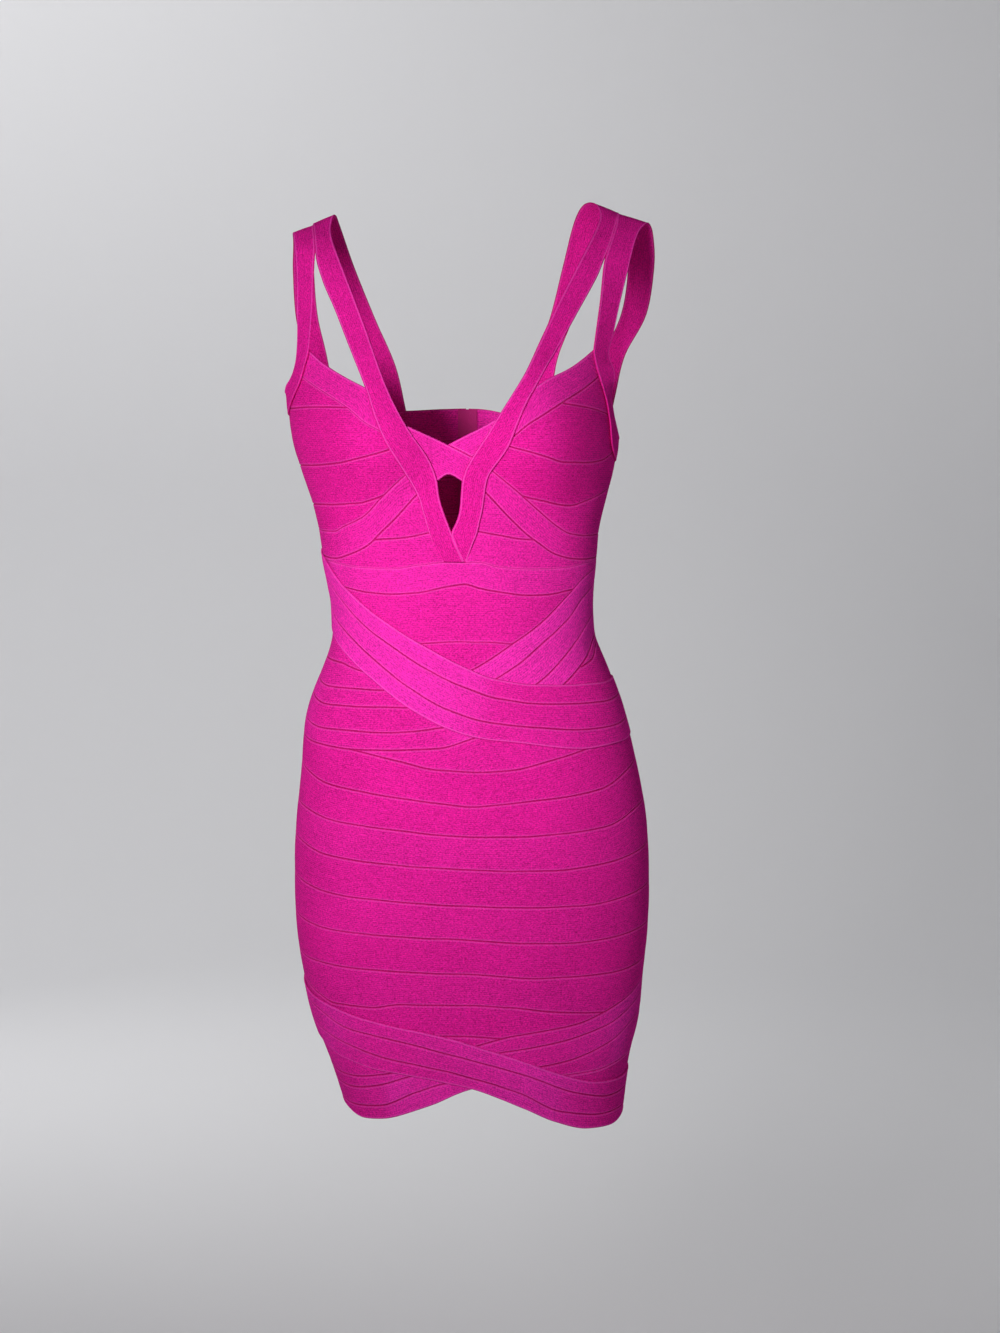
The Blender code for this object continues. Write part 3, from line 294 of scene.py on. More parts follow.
# Straps: runs of rows from the front end over the shoulder to the back end. A
# row gives the two edges, the one nearer the neck first: on the body each as
# angle and height, and else as x, y and height, in degrees and millimetres.
STRAPS = {
    "strap_inner_left": (
        (StrapLies.ON_BODY, (
            (-1, -315.5, -13.5, -315.5), (-4.3, -303, -17, -304), (-10.4, -274.8, -21.4, -274),
            (-12.5, -261, -22.8, -262), (-13.5, -245.5, -25.8, -249.5), (-16, -232, -29, -238.5),
            (-19.6, -220.3, -32.6, -226), (-24.3, -208, -36, -213.6), (-28.4, -195.4, -38.8, -200.3),
            (-32, -183, -41.5, -185.8), (-35.4, -170, -44, -171), (-38.8, -155.5, -47.3, -155.8),
            (-42.6, -139.4, -51.3, -140),
        )),
        (StrapLies.IN_AIR, (
            (-85.6, -75, -116.4, -106.2, -69, -118.2), (-95.4, -64, -91, -116, -58, -94),
            (-104.3, -54, -68.3, -126, -49, -71.4), (-112.5, -42, -47.3, -132.8, -40, -50.7),
            (-118.8, -28, -30.8, -135, -30, -36), (-121.5, -13, -17, -136.8, -18, -23),
            (-119, 2, -4, -139.2, 2, -12.5), (-116, 30, -12, -138, 31, -22),
            (-105, 62, -46, -127, 62, -52), (-87, 83, -92, -109, 79, -95),
            (-68, 93, -137, -90, 87, -139),
        )),
        (StrapLies.ON_BODY, (
            (212, -182, 223, -184),
        )),
    ),
    "strap_inner_right": (
        (StrapLies.ON_BODY, (
            (-2.2, -314.5, 1.6, -316), (-6.3, -300, 4.8, -301.5), (-7.3, -291.5, 7, -292),
            (-4.4, -281, 8.3, -281.5), (-2.6, -269.7, 9.6, -270.5), (-1.5, -248, 11, -250.5),
            (-0.5, -240.7, 12, -243.4), (1.3, -233, 13.8, -237.3), (7, -217, 19.4, -223.6),
            (11, -207, 22.3, -214.5), (14.7, -196, 24.6, -203.6), (22.4, -175, 29.8, -181.5),
            (29.8, -154.5, 36.5, -160.5), (34.5, -139.4, 41.2, -146.5),
        )),
        (StrapLies.IN_AIR, (
            (66.2, -81, -123.8, 81.4, -76, -131.3), (82.3, -66, -89.5, 99.8, -59, -97.7),
            (98, -52, -58.4, 116.7, -47, -66.8), (106, -43, -42.6, 123.3, -40, -51),
            (113, -31, -28.5, 130, -31, -34.5), (119.2, -16, -14.5, 134.8, -19, -19.7),
            (121, -4, -3, 138.2, -6, -7.7), (116, 8, 7, 139.3, 6, -2.6), (107, 24, 7, 135, 24, -4),
            (99, 44, -8, 126, 44, -16), (90, 66, -44, 114, 64, -48), (78, 83, -92, 100, 79, -92),
            (62, 92, -137, 84, 86, -137),
        )),
        (StrapLies.ON_BODY, (
            (148, -193, 137, -200),
        )),
    ),
    "strap_outer_left": (
        (StrapLies.ON_BODY, (
            (-89.6, -188, -89.6, -167.5), (-84, -185.5, -87, -165.5),
        )),
        (StrapLies.BESIDE_BODY, (
            (-158.4, -31.5, -178.8, -164.2, -15, -164.5), (-154.6, -40.6, -171, -162.4, -24, -159.5),
            (-150.8, -46, -164.2, -158.5, -28, -154), (-147.3, -49, -156.4, -155.4, -30, -147.6),
        )),
        (StrapLies.IN_AIR, (
            (-143.2, -50, -143, -153, -31, -138), (-139.9, -50, -131.5, -151.9, -32, -128),
            (-138, -47.3, -116.3, -151.5, -31, -115), (-136.4, -40, -87, -151.8, -26, -86),
            (-136, -31, -55.5, -152.8, -20, -54.5), (-135, -28.5, -37.5, -154, -17, -38.8),
            (-136.3, -16.6, -24.1, -156, -9, -28), (-138.6, 2, -13.8, -157.8, 3, -20.5),
            (-140.6, 24, -20.6, -159, 22, -29), (-142, 46, -48, -161, 41, -53),
            (-140, 64, -90, -160, 58, -92), (-132, 76, -130, -153, 66, -127),
            (-129, 76, -160, -151, 60, -150), (-142.5, 56, -190, -154, 43, -169),
        )),
        (StrapLies.ON_BODY, (
            (-100, -192, -97, -171), (-90.4, -188, -90.4, -167.5),
        )),
    ),
    "strap_outer_right": (
        (StrapLies.ON_BODY, (
            (89.6, -229, 89.6, -207), (83.5, -227.5, 87, -206),
        )),
        (StrapLies.BESIDE_BODY, (
            (134.5, -34, -223, 139.2, -17, -205.5), (132, -44.4, -215, 137.4, -27, -199.5),
            (130.8, -47.8, -205, 135.6, -30, -192.5), (129.7, -48.6, -193.5, 133.8, -29, -184.5),
            (126.3, -50.2, -174, 131.8, -30, -168),
        )),
        (StrapLies.IN_AIR, (
            (120.6, -54.1, -156.5, 134.2, -36, -154), (117.7, -54.9, -147.7, 133.6, -38, -146),
            (115.7, -54.7, -139, 130, -37, -137), (114.5, -54.2, -130.8, 129.3, -37, -129),
            (116.3, -51.3, -116.5, 132.8, -35, -115.3), (120.5, -47.5, -85.3, 139, -34, -86.5),
            (123.6, -40.6, -54.7, 146.6, -29.5, -55.5), (127, -35.5, -41, 150.2, -25, -41),
            (131.4, -27.1, -27.7, 154, -18, -28.3), (135.3, -15.8, -15.1, 159, -9, -18),
            (138.2, 1.5, -3.4, 167, 3, -12), (145, 23, -11.6, 172, 22, -22),
            (150, 46, -44, 174, 41, -48), (145, 66, -88, 168, 58, -90), (127, 77, -130, 149, 68, -127),
            (118, 74, -168, 140, 60, -163),
        )),
        (StrapLies.ON_BODY, (
            (112, -222, 106, -203), (100, -231, 97, -209), (90.4, -229, 90.4, -207),
        )),
    ),
}


class EdgeKind(Enum):
    """How a strip ends along one of its sides."""

    SEAM = "seam"
    FOLD = "fold"
    TUCKED = "tucked"


@dataclass(frozen=True)
class EdgeForm:
    """Rounding of a strip's outer face near its edge, in metres."""

    drop: float
    reach: float
    ridge: float
    ridge_at: float
    ridge_reach: float = 0.55  # how wide the ridge is, as a share of how far it lies from the edge

    def lift(self, away: Array) -> Array:
        """How far the face stands out at distances from the edge, negative at the edge itself."""
        bump = (away - self.ridge_at) / (self.ridge_reach * self.ridge_at)
        return self.ridge * np.exp(-bump ** 2) - self.drop * np.exp(-(away / self.reach) ** 2)


EDGE_FORMS = {
    EdgeKind.SEAM: EdgeForm(0.62 * MM, 0.50 * MM, 0.16 * MM, 1.4 * MM),
    EdgeKind.FOLD: EdgeForm(0.60 * MM, 0.40 * MM, 0.26 * MM, 1.2 * MM),
    EdgeKind.TUCKED: EdgeForm(0.5 * MM, 3.0 * MM, 0.0, 1.5 * MM),
}
# Distances from an edge at which a strip has a row or a column of points.
EDGE_STEPS = np.array((0.0, 0.25, 0.55, 0.95, 1.5, 2.3, 3.6)) * MM

# Lines along which the cloth ends or lies open on other strips.
FOLDED_LINES = frozenset((
    "sweetheart_top_left", "sweetheart_top_right", "armhole_left", "armhole_right",
    "neck_edge_left", "neck_edge_right", "gusset_top_left", "gusset_top_right", "keyhole_top",
    "over_0", "over_3", "hem_over_0", "hem_over_3", "hem_under_3",
    "neck", "hem_3",
))

# The ones among them that the strips below a wrap are sewn to.
WRAP_EDGES = ("over_0", "over_3", "hem_over_0")

# Lines that show less than the others, as a share.
FAINT_LINES = {
    "underbust_top": 0.45, "sweetheart_low_left": 0.5, "cross_top_left": 0.75, "cross_top_right": 0.85,
    "waist_seam": 0.8,
}

# Pieces whose ribs run level, whatever the way of their edges.
LEVEL_KNIT = ("cup", "centre", "waist", "hip")

# How light each group of strips is painted where it runs level and where it runs steeply, from 0 to 1,
# by the start of their names: its own tone with painted light and shade, and painted sheen where steep.
STRIP_TONES_AND_SHEEN = (
    # start, level, steep
    ("wrap_over", 0.30, 1.0), ("wrap_under", 0.28, 0.95), ("hem_over", 0.25, 0.95),
    ("hem_under", 0.22, 0.85), ("hem_side", 0.25, 0.5), ("underbust", 0.62, 0.8), ("strap", 0.15, 0.15),
    ("sweetheart", 0.36, 0.44), ("cross_band", 0.30, 0.45), ("cup", 0.14, 0.2), ("centre", 0.38, 0.38),
    ("gusset", 0.5, 0.6), ("waist", 0.28, 0.3), ("hip", 0.34, 0.4), ("skirt", 0.22, 0.3),
    ("back_neck", 0.6, 0.6), ("back", 0.3, 0.3),
)
TONE_SPREAD = 0.16  # how far tones of the same group lie apart by chance


def put_in_scene(name: str, data: bpy.types.ID) -> Object:
    """Put a new object in the scene.

    Args:
        name: Its name.
        data: Its mesh, curve, lamp or camera.
    Returns:
        The object.
    """
    made = bpy.data.objects.new(name, data)
    bpy.context.scene.collection.objects.link(made)
    return made


def finished_mesh(carrier: Object) -> Mesh:
    """Mesh that an object's curve or modifiers give."""
    bpy.context.view_layer.update()
    return bpy.data.meshes.new_from_object(carrier.evaluated_get(bpy.context.evaluated_depsgraph_get()))


def curve_mesh(curve: bpy.types.Curve) -> Mesh:
    """Mesh of a curve.

    Args:
        curve: The curve.
    Returns:
        The mesh, with the curve's name.
    """
    carrier = put_in_scene(curve.name, curve)
    mesh = finished_mesh(carrier)
    mesh.name = curve.name
    bpy.data.objects.remove(carrier, do_unlink=True)
    return mesh


def lot(name: str, count: int) -> int:
    """Number from 0 up to a count that a name draws, the same one each time."""
    return zlib.crc32(name.encode()) % count


def strip_tone_and_sheen(node: str, seam: str, steepness: Array) -> Array:
    """How light a strip is painted along its way: its tone with painted light, and painted sheen that grows
    where it runs steeply, with a little chance of its own.

    Args:
        node: The piece that the strip belongs to.
        seam: The strip's upper line.
        steepness: How steeply it runs, 0 where level and 1 where steep.
    Returns:
        Its tones with painted sheen, from 0 to 1.
    """
    level, steep = next(row[1:] for row in STRIP_TONES_AND_SHEEN if node.startswith(row[0]))
    chance = lot(node + seam, 997) / 997 - 0.5
    return np.clip(level + (steep - level) * steepness + TONE_SPREAD * chance, 0, 1)


class SmoothLine:
    """Smooth curve through the rows of a table, with no overshoot between them."""

    def __init__(self, keys: Array, values: Array, runs_on: bool = False) -> None:
        """Work out the slopes at the rows.

        Args:
            keys: Growing positions of the rows.
            values: What the curve has there.
            runs_on: Whether it goes on straight past its ends, and not level.
        """
        self.keys, self.values, self.runs_on = keys, values, runs_on
        slopes = np.diff(values) / np.diff(keys)
        before, after = slopes[:-1], slopes[1:]
        both = before + after
        inner = np.where(before * after > 0, 2 * before * after / np.where(both == 0, 1, both), 0.0)
        self.tangents = np.concatenate((slopes[:1], inner, slopes[-1:]))

    def __call__(self, at: Array) -> Array:
        """Values of the curve.

        Args:
            at: Positions on it.
        Returns:
            The values, in the shape of the positions.
        """
        at = np.asarray(at, float)
        held = np.clip(at, self.keys[0], self.keys[-1])
        i = np.clip(np.searchsorted(self.keys, held, side="right") - 1, 0, len(self.keys) - 2)
        span = self.keys[i + 1] - self.keys[i]
        t = (held - self.keys[i]) / span
        found = (self.values[i] * (1 + 2 * t) * (1 - t) ** 2 + self.tangents[i] * span * t * (1 - t) ** 2
                 + self.values[i + 1] * t * t * (3 - 2 * t) - self.tangents[i + 1] * span * t * t * (1 - t))
        if self.runs_on:
            found = found + np.where(at < self.keys[0], self.tangents[0] * (at - self.keys[0]), 0.0)
            found = found + np.where(at > self.keys[-1], self.tangents[-1] * (at - self.keys[-1]), 0.0)
        return found


@dataclass(frozen=True)
class Crease:
    """Soft trough or ridge in the cloth between two places on the body surface."""

    start: Pair  # angle and height in millimetres
    stop: Pair
    width: float  # millimetres
    depth: float  # millimetres, negative for a ridge
    degree: float = 2.4  # millimetres of arc that a degree is taken for
    bend: float = 0.22  # how far its line winds, as a share of its width
    swell: float = 0.25  # how much its depth changes along it, as a share

    def relief(self, angle: Array, height: Array) -> Array:
        """How far the crease moves the cloth outwards.

        Args:
            angle: Angles in degrees.
            height: Heights in metres.
        Returns:
            Offsets in metres.
        """
        across, rise = (self.stop[0] - self.start[0]) * self.degree, self.stop[1] - self.start[1]
        length = math.hypot(across, rise)
        x = (angle - self.start[0]) * self.degree
        z = height / MM - self.start[1]
        along = (x * across + z * rise) / length
        aside = (z * across - x * rise) / length
        aside = aside + self.bend * self.width * np.sin(along / length * 5.1 + self.width)
        ends = np.sin(math.pi * np.clip(along / length, 0, 1)) ** 0.7
        uneven = 1 + self.swell * np.sin(along / 11.0 + self.depth * 7)
        return -self.depth * MM * ends * uneven * np.exp(-(aside / self.width) ** 2)


@dataclass(frozen=True)
class Figure:
    """Rounded body surface that the dress is filled out to."""

    power: float = 2.25
    cup_across: Pair = (-90 * MM, 74 * MM)
    cup_height: float = -212 * MM
    cup_depth: float = 24 * MM
    cup_width: float = 74 * MM
    cup_rise: float = 95 * MM
    cup_fall: float = 66 * MM
    cup_fade: float = 0.14  # cosine of the angle from which the cups run out to the side seams
    softening: int = 7  # millimetres over which the sections' bends are evened out
    creases: tuple[Crease, ...] = ()
    sizes: Array = field(init=False, repr=False, compare=False)
    lowest: float = -940.0  # millimetres, where the sizes begin

    def __post_init__(self) -> None:
        """Work out the half widths and depths at each millimetre of height."""
        rows = np.array(SECTIONS, float)[::-1]
        heights = np.arange(self.lowest, 1.0)
        reach = 3 * self.softening
        kernel = np.exp(-0.5 * (np.arange(-reach, reach + 1) / self.softening) ** 2)
        kernel /= kernel.sum()
        columns = []
        for column in range(1, 5):
            plain = SmoothLine(rows[:, 0], rows[:, column])(heights)
            columns.append(np.convolve(np.pad(plain, reach, mode="edge"), kernel, mode="valid"))
        object.__setattr__(self, "sizes", np.array(columns) * MM)

    def half_size(self, column: int, height: Array) -> Array:
        """Half width or depth at heights in metres; columns are left, right, front and back."""
        return np.interp(height / MM, np.arange(self.lowest, 1.0), self.sizes[column])

    def cup_swell(self, x: Array, height: Array) -> Array:
        """How far the cups stand out from the front.

        Args:
            x: Places across the dress, in metres.
            height: Their heights.
        Returns:
            Distances in metres.
        """
        reach = np.where(height > self.cup_height, self.cup_rise, self.cup_fall)
        swell = np.zeros_like(x)
        for middle in self.cup_across:
            away = np.hypot((x - middle) / self.cup_width, (height - self.cup_height) / reach)
            swell += self.cup_depth * 0.5 * (1 + np.cos(math.pi * np.minimum(away, 1)))
        return swell

    def point(self, angle: Array | float, height: Array | float) -> Array:
        """Points of the surface.

        Args:
            angle: Angles in degrees from the front centre.
            height: Heights in metres.
        Returns:
            Points, with x, y and z in the last axis.
        """
        angle, height = np.broadcast_arrays(np.asarray(angle, float), np.asarray(height, float))
        turn = np.radians(angle)
        across, ahead = np.sin(turn), np.cos(turn)
        half_width = np.where(across > 0, self.half_size(1, height), self.half_size(0, height))
        depth = np.where(ahead > 0, self.half_size(2, height), self.half_size(3, height))
        radius = ((np.abs(across) / half_width) ** self.power
                  + (np.abs(ahead) / depth) ** self.power) ** (-1 / self.power)
        x, y = radius * across, -radius * ahead
        y = y - self.cup_swell(x, height) * np.clip(ahead / self.cup_fade, 0, 1)
        return np.stack((x, y, height), axis=-1)

    def normal(self, angle: Array | float, height: Array | float) -> Array:
        """Unit normals of the surface, without creases.

        Args:
            angle: Angles in degrees.
            height: Heights in metres.
        Returns:
            The normals.
        """
        around = self.point(angle + 0.5, height) - self.point(angle - 0.5, height)
        upwards = self.point(angle, height + MM) - self.point(angle, height - MM)
        found = np.cross(around, upwards)
        return found / np.linalg.norm(found, axis=-1, keepdims=True)

    def raised(self, angle: Array | float, height: Array | float, distance: Array | float) -> Array:
        """Points outside the surface, creases included.

        Args:
            angle: Angles in degrees.
            height: Heights in metres.
            distance: How far outside, in metres.
        Returns:
            The points.
        """
        angle, height = np.broadcast_arrays(np.asarray(angle, float), np.asarray(height, float))
        relief = sum((crease.relief(angle, height) for crease in self.creases), np.zeros_like(angle))
        return self.point(angle, height) + self.normal(angle, height) * (distance + relief)[..., None]


class SeamChart:
    """Heights of all seam lines of the front and the back."""

    wobble = 0.3 * MM  # unevenness of the sewing
    waves = ((6.1, 1.0, 1.0), (3.3, 0.7, 2.3), (13.7, 0.4, 4.1))  # its pace in degrees, share and shift
    settling = 6.0  # degrees from a side seam or the centre back over which it sets in
    bow = 1.5  # how the lines of the back run in level from the sides

    def __init__(self) -> None:
        """Make a curve for each line."""
        self.curves: dict[str, SmoothLine] = {}
        for table in (SEAMS, SHORT_SEAMS):
            for name, rows in table.items():
                keys, values = np.array(rows, float).T
                self.curves[name] = SmoothLine(keys, values, runs_on=name in SEAMS)
        self.back = {name: (left, centre, right) for name, left, centre, right in BACK_EDGES}

    def height(self, name: str, angle: Array | float) -> Array:
        """Heights of a line.

        Args:
            name: The line, with its mark where it runs in under something.
            angle: Angles in degrees.
        Returns:
            Heights in metres.
        """
        angle = np.asarray(angle, float)
        if name[-1] in "+-":
            return self.height(name[:-1], angle) + (TUCK_DROP if name[-1] == "+" else -TUCK_DROP)
        if name[-1] in "<>":
            return self.height(name[:-1], angle + (TUCK if name[-1] == "<" else -TUCK))
        if name in self.back:
            left, centre, right = self.back[name]
            side = np.where(angle > 0, right, left)
            share = np.clip((np.abs(angle) - SIDE_SEAM) / SIDE_SEAM, 0, 1)
            plain = (side + (centre - side) * np.sin(share * math.pi / 2) ** self.bow) * MM
        else:
            plain = self.curves[name](angle) * MM
        return plain + self.unevenness(name, angle)

    def unevenness(self, name: str, angle: Array) -> Array:
        """Small wander of a sewn line, none at the side seams and the centre back.

        Args:
            name: The line.
            angle: Angles in degrees.
        Returns:
            Offsets in metres.
        """
        seed = lot(name, 1000) / 1000 * math.tau
        wander = sum(share * np.sin(angle / pace + shift * seed) for pace, share, shift in self.waves)
        near = np.minimum(np.abs(np.abs(angle) - SIDE_SEAM), np.abs(np.abs(angle) - 180))
        wander = wander / sum(wave[1] for wave in self.waves)
        return self.wobble * wander * np.clip(near / self.settling, 0, 1)


@dataclass(frozen=True)
class Strip:
    """One sewn strip between seam lines."""

    node: str
    upper: tuple[str, ...]  # the lines that bound it, the lowest of them at each angle
    lower: tuple[str, ...]  # and the highest of these
    angle: float = 0.0  # an angle that it takes in
    layer: int = 0  # 1 where it lies on others


def bust_strips(side: str, tuck: str, angles: tuple[int, ...]) -> list[Strip]:
    """Strips of one side of the bust, from the neckline down to the underbust band.

    Args:
        side: The side's name.
        tuck: The mark of a line that runs in under the strap on that side.
        angles: An angle that each strip takes in.
    Returns:
        The strips.
    """
    top, low, cross_top, cross_low, centre, armhole, strap, *cups = (
        f"{line}_{side}" for line in ("sweetheart_top", "sweetheart_low", "cross_top", "cross_low",
                                      "centre_seam", "armhole", "strap_edge", "cup_1", "cup_2", "cup_3"))
    strap += tuck
    rows = (
        (f"sweetheart_{side}", (top, armhole, strap), (low,)),
        (f"cup_{side}_1", (low, armhole), (cups[0],)),
        (f"cup_{side}_2", (cups[0], low, armhole, strap), (cups[1],)),
        (f"cup_{side}_3", (cups[1], armhole, strap), (cups[2], cross_top)),
        (f"cup_{side}_4", (cups[2],), (cross_top,)),
        (f"cross_band_{side}", (cross_top, strap), (cross_low,)),
        (f"centre_panel_{side}", (cross_low, strap), (centre, "underbust_top")),
        (f"centre_panel_{side}", (cross_low, strap, centre), ("underbust_top",)),
    )
    return [Strip(*row, angle) for row, angle in zip(rows, angles)]


def strips_in_turn(node: str, numbers: range, line: str, first_line: int = 0, layer: int = 0) -> list[Strip]:
    """Numbered strips that lie one below the other between numbered lines.

    Args:
        node: Start of the strips' names.
        numbers: Their numbers.
        line: Start of the lines' names.
        first_line: Number of the line above the first strip.
        layer: 1 where they lie on others.
    Returns:
        The strips.
    """
    return [Strip(f"{node}_{number}", (f"{line}_{above}",), (f"{line}_{above + 1}",), layer=layer)
            for above, number in enumerate(numbers, first_line)]


FRONT_STRIPS = (
    *bust_strips("left", ">", (-60, -66, -60, -60, -60, -50, -30, -30)),
    *bust_strips("right", "<", (50, 62, 50, 50, 60, 40, 25, 25)),
    Strip("gusset_left", ("gusset_top_left",), ("neck_edge_left<", "keyhole_top", "neck_edge_right>"), -10),
    Strip("gusset_right", ("gusset_top_right",), ("gusset_top_left", "neck_edge_right>"), 4),
    Strip("underbust_band", ("underbust_top",), ("underbust_low", "over_0-", "under_0")),
    Strip("waist_panel", ("underbust_low",), ("waist_seam", "over_0-", "under_0")),
    Strip("waist_panel", ("waist_seam",), ("over_0-", "under_0")),
    Strip("hip_side_left", ("over_3+",), ("hip_seam_left", "under_0"), -80),
    Strip("hip_side_left", ("hip_seam_left", "over_3+"), ("under_0",), -80),
    Strip("hip_side_right", ("under_3",), ("hip_seam_right", "over_0-"), 80),
    Strip("hip_side_right", ("hip_seam_right", "under_3"), ("over_0-",), 80),
    *strips_in_turn("wrap_over", range(1, 4), "over", layer=1),
    *strips_in_turn("wrap_under", range(1, 4), "under"),
    Strip("skirt_band_1", ("over_3+", "under_3"), ("skirt_0",)),
    Strip("skirt_band_2", ("over_3+", "under_3", "skirt_0"), ("skirt_1",)),
    *strips_in_turn("skirt_band", range(3, 8), "skirt", first_line=1),
    Strip("skirt_band_8", ("skirt_6",), ("skirt_7", "hem_under_0")),
    Strip("skirt_band_9", ("skirt_7",), ("low_seam", "hem_over_0-", "hem_under_0")),
    Strip("skirt_band_9", ("low_seam",), ("hem_over_0-", "hem_under_0")),
    *strips_in_turn("hem_over", range(1, 4), "hem_over", layer=1),
    *strips_in_turn("hem_under", range(1, 4), "hem_under"),
    Strip("hem_side_left", ("hem_over_3+",), ("hem_under_0",), -80),
    Strip("hem_side_right", ("hem_under_3",), ("hem_over_0-",), 80),
)


@dataclass
class Grid:
    """Outer and inner points of a strip, with what its finish reads at them."""

    outer: Array  # rows, columns, 3
    inner: Array
    along: Array  # metres along the strip
    across: Array  # metres across it
    away: Array  # metres to the nearest edge
    tone: Array  # how light it is painted, its tone with painted light and sheen, from 0 to 1
    free: Array  # 1 where the nearest edge is a free one

    def flat_size(self) -> Triple:
        """Size of the strip when it is laid flat.

        Returns:
            Its width, its length and its area.
        """
        steps = np.linalg.norm(np.diff(self.outer, axis=1), axis=-1).sum(1)
        rises = np.linalg.norm(np.diff(self.outer, axis=0), axis=-1).sum(0)
        across, along = np.diff(self.outer, axis=0), np.diff(self.outer, axis=1)
        corners = np.cross(across[:, :-1], along[:-1]), np.cross(along[1:], across[:, 1:])
        area = sum(np.linalg.norm(corner, axis=-1).sum() for corner in corners) / 2
        return float(rises.max()), float(steps.max()), float(area)


@dataclass
class LongEdge:
    """Upper or lower edge of a strip at each of its columns."""

    height: Array  # metres
    steep: Array  # how much farther than straight across its steps are up or down, from 1
    faint: Array  # how little of its groove and ridge shows, from 0 to 1
    kinds: list[EdgeKind]

    def ends_as(self, kind: EdgeKind) -> Array:
        """At which columns the strip ends in this way."""
        return np.array([one is kind for one in self.kinds])

    def lift(self, away: Array) -> Array:
        """Rounding of the strip's face beside the edge.

        Args:
            away: Distances from it, in metres.
        Returns:
            How far the face stands out there.
        """
        found = np.zeros_like(away)
        for kind, form in EDGE_FORMS.items():
            found = np.where(self.ends_as(kind), form.lift(away), found)
        return found * (1 - self.faint)


class StripMaker:
    """Turns strips between seam lines into grids of points."""

    scan_step = 0.1  # degrees between the angles at which a strip's outline is searched
    column_step = 1.25  # degrees
    column_room = 0.3  # share of that step that stays free beside a special column
    row_step = 5.0 * MM
    smallest_tip = 0.35 * MM
    thinnest = 0.05 * MM  # least width of a column
    steepest = 5.0  # most that an edge's slant counts
    probe = 0.5  # degrees to each side over which a slant is measured
    crown = 0.35 * MM  # how far a strip swells between its seams
    crown_width = 15 * MM  # width from which it has its whole crown
    deepest = 0.78 * MM  # most that an edge is rounded off
    end_share = 0.75  # how much of its rounding a strip has at the side seams
    end_ridge = 0.1 * MM  # most that it stands out beside them
    end_faint = 0.2 * MM  # how much farther away a side seam counts for the painted seam shade and ridge highlight
    side_fade = 8.0  # degrees over which a wrap sinks towards the side seam
    side_sink = 0.45  # share of its step that it has sunk there
    thread_depth = 0.55 * MM  # how deep the linking thread lies in a seam
    slant_columns = 9  # columns over which the slant of the ribs is evened out
    full_slant = 0.16  # slant at which a strip has the tone and painted sheen of a steep one
    knit_shift = 13 * MM  # step by which the knits of the strips are shifted against each other

    def __init__(self, figure: Figure, chart: SeamChart) -> None:
        """Keep what the strips are measured on."""
        self.figure, self.chart = figure, chart
        self.seams: list[Array] = []

    def choose(self, lines: tuple[str, ...], angle: Array, lowest: bool) -> tuple[Array, Array]:
        """Line that bounds a strip at each angle.

        Args:
            lines: The lines that may bound it.
            angle: Angles in degrees.
            lowest: Whether the lowest one counts, or the highest.
        Returns:
            Heights, and which of the lines each is on.
        """
        heights = np.array([self.chart.height(line, angle) for line in lines])
        which = heights.argmin(0) if lowest else heights.argmax(0)
        return np.take_along_axis(heights, which[None], 0)[0], which

    def columns(self, strip: Strip, first: float, last: float) -> Array:
        """Angles of a strip's columns: even ones, its tips and corners, and close ones beside its ends.

        Args:
            strip: The strip.
            first: Least angle that it may reach.
            last: Greatest angle.
        Returns:
            Growing angles in degrees.
        """
        scan = np.arange(first, last + self.scan_step / 2, self.scan_step)
        top, upper = self.choose(strip.upper, scan, True)
        low, lower = self.choose(strip.lower, scan, False)
        narrow = np.flatnonzero(top - low <= self.smallest_tip)
        middle = int(round((strip.angle - first) / self.scan_step))
        before, after = narrow[narrow < middle], narrow[narrow > middle]
        start = scan[before[-1] + 1] if len(before) else first
        stop = scan[after[0] - 1] if len(after) else last
        special = []
        for which in (upper, lower):
            corners = scan[:-1][np.diff(which) != 0] + self.scan_step / 2
            special += [angle for angle in corners
                        if start + 2 * self.scan_step < angle < stop - 2 * self.scan_step]
        height = float(self.chart.height(strip.upper[0], strip.angle))
        for tip, end, sign in ((start, first, 1), (stop, last, -1)):
            if abs(tip - end) < self.scan_step / 2:
                size = float(np.linalg.norm(self.figure.point(end, height)[:2]))
                special += [end + sign * math.degrees((away + SEAM_GAP / 2) / size) for away in EDGE_STEPS]
            else:
                special.append(tip)
        special = np.unique(np.array(special))
        base = np.arange(math.ceil(start / self.column_step), stop / self.column_step) * self.column_step
        room = np.abs(base[:, None] - special[None]).min(1) > self.column_room * self.column_step
        inside = (base > special.min()) & (base < special.max())
        return np.sort(np.concatenate((special, base[room & inside])))

    def slant(self, lines: tuple[str, ...], which: Array, angle: Array) -> Array:
        """How steeply an edge of a strip runs.

        Args:
            lines: The lines that it may lie on.
            which: Which of them it lies on at each angle.
            angle: Angles in degrees.
        Returns:
            How much farther than straight across its steps are up or down, from 1.
        """
        found = np.ones_like(angle)
        for index, line in enumerate(lines):
            before, after = angle - self.probe, angle + self.probe
            rise = self.chart.height(line, after) - self.chart.height(line, before)
            height = self.chart.height(line, angle)
            step = self.figure.point(after, height) - self.figure.point(before, height)
            run = np.linalg.norm(step, axis=-1)
            found = np.where(which == index, np.hypot(run, rise) / run, found)
        return np.minimum(found, self.steepest)

    @staticmethod
    def shows(lines: tuple[str, ...], which: Array, angle: Array) -> Array:
        """How much of its groove and ridge an edge of a strip shows.

        Args:
            lines: The lines that it may lie on.
            which: Which of them it lies on at each angle.
            angle: Angles in degrees.
        Returns:
            Shares up to 1.
        """
        found = np.ones_like(angle)
        for index, line in enumerate(lines):
            phase = lot(line, 628) / 100
            waves = np.sin(np.radians(angle) * 5.3 + phase) * np.sin(np.radians(angle) * 2.1 + 2 * phase)
            unevenness = 0.15 * (0.5 + 0.5 * waves)
            found = np.where(which == index, FAINT_LINES.get(line, 1.0) * (1 - unevenness), found)
        return found

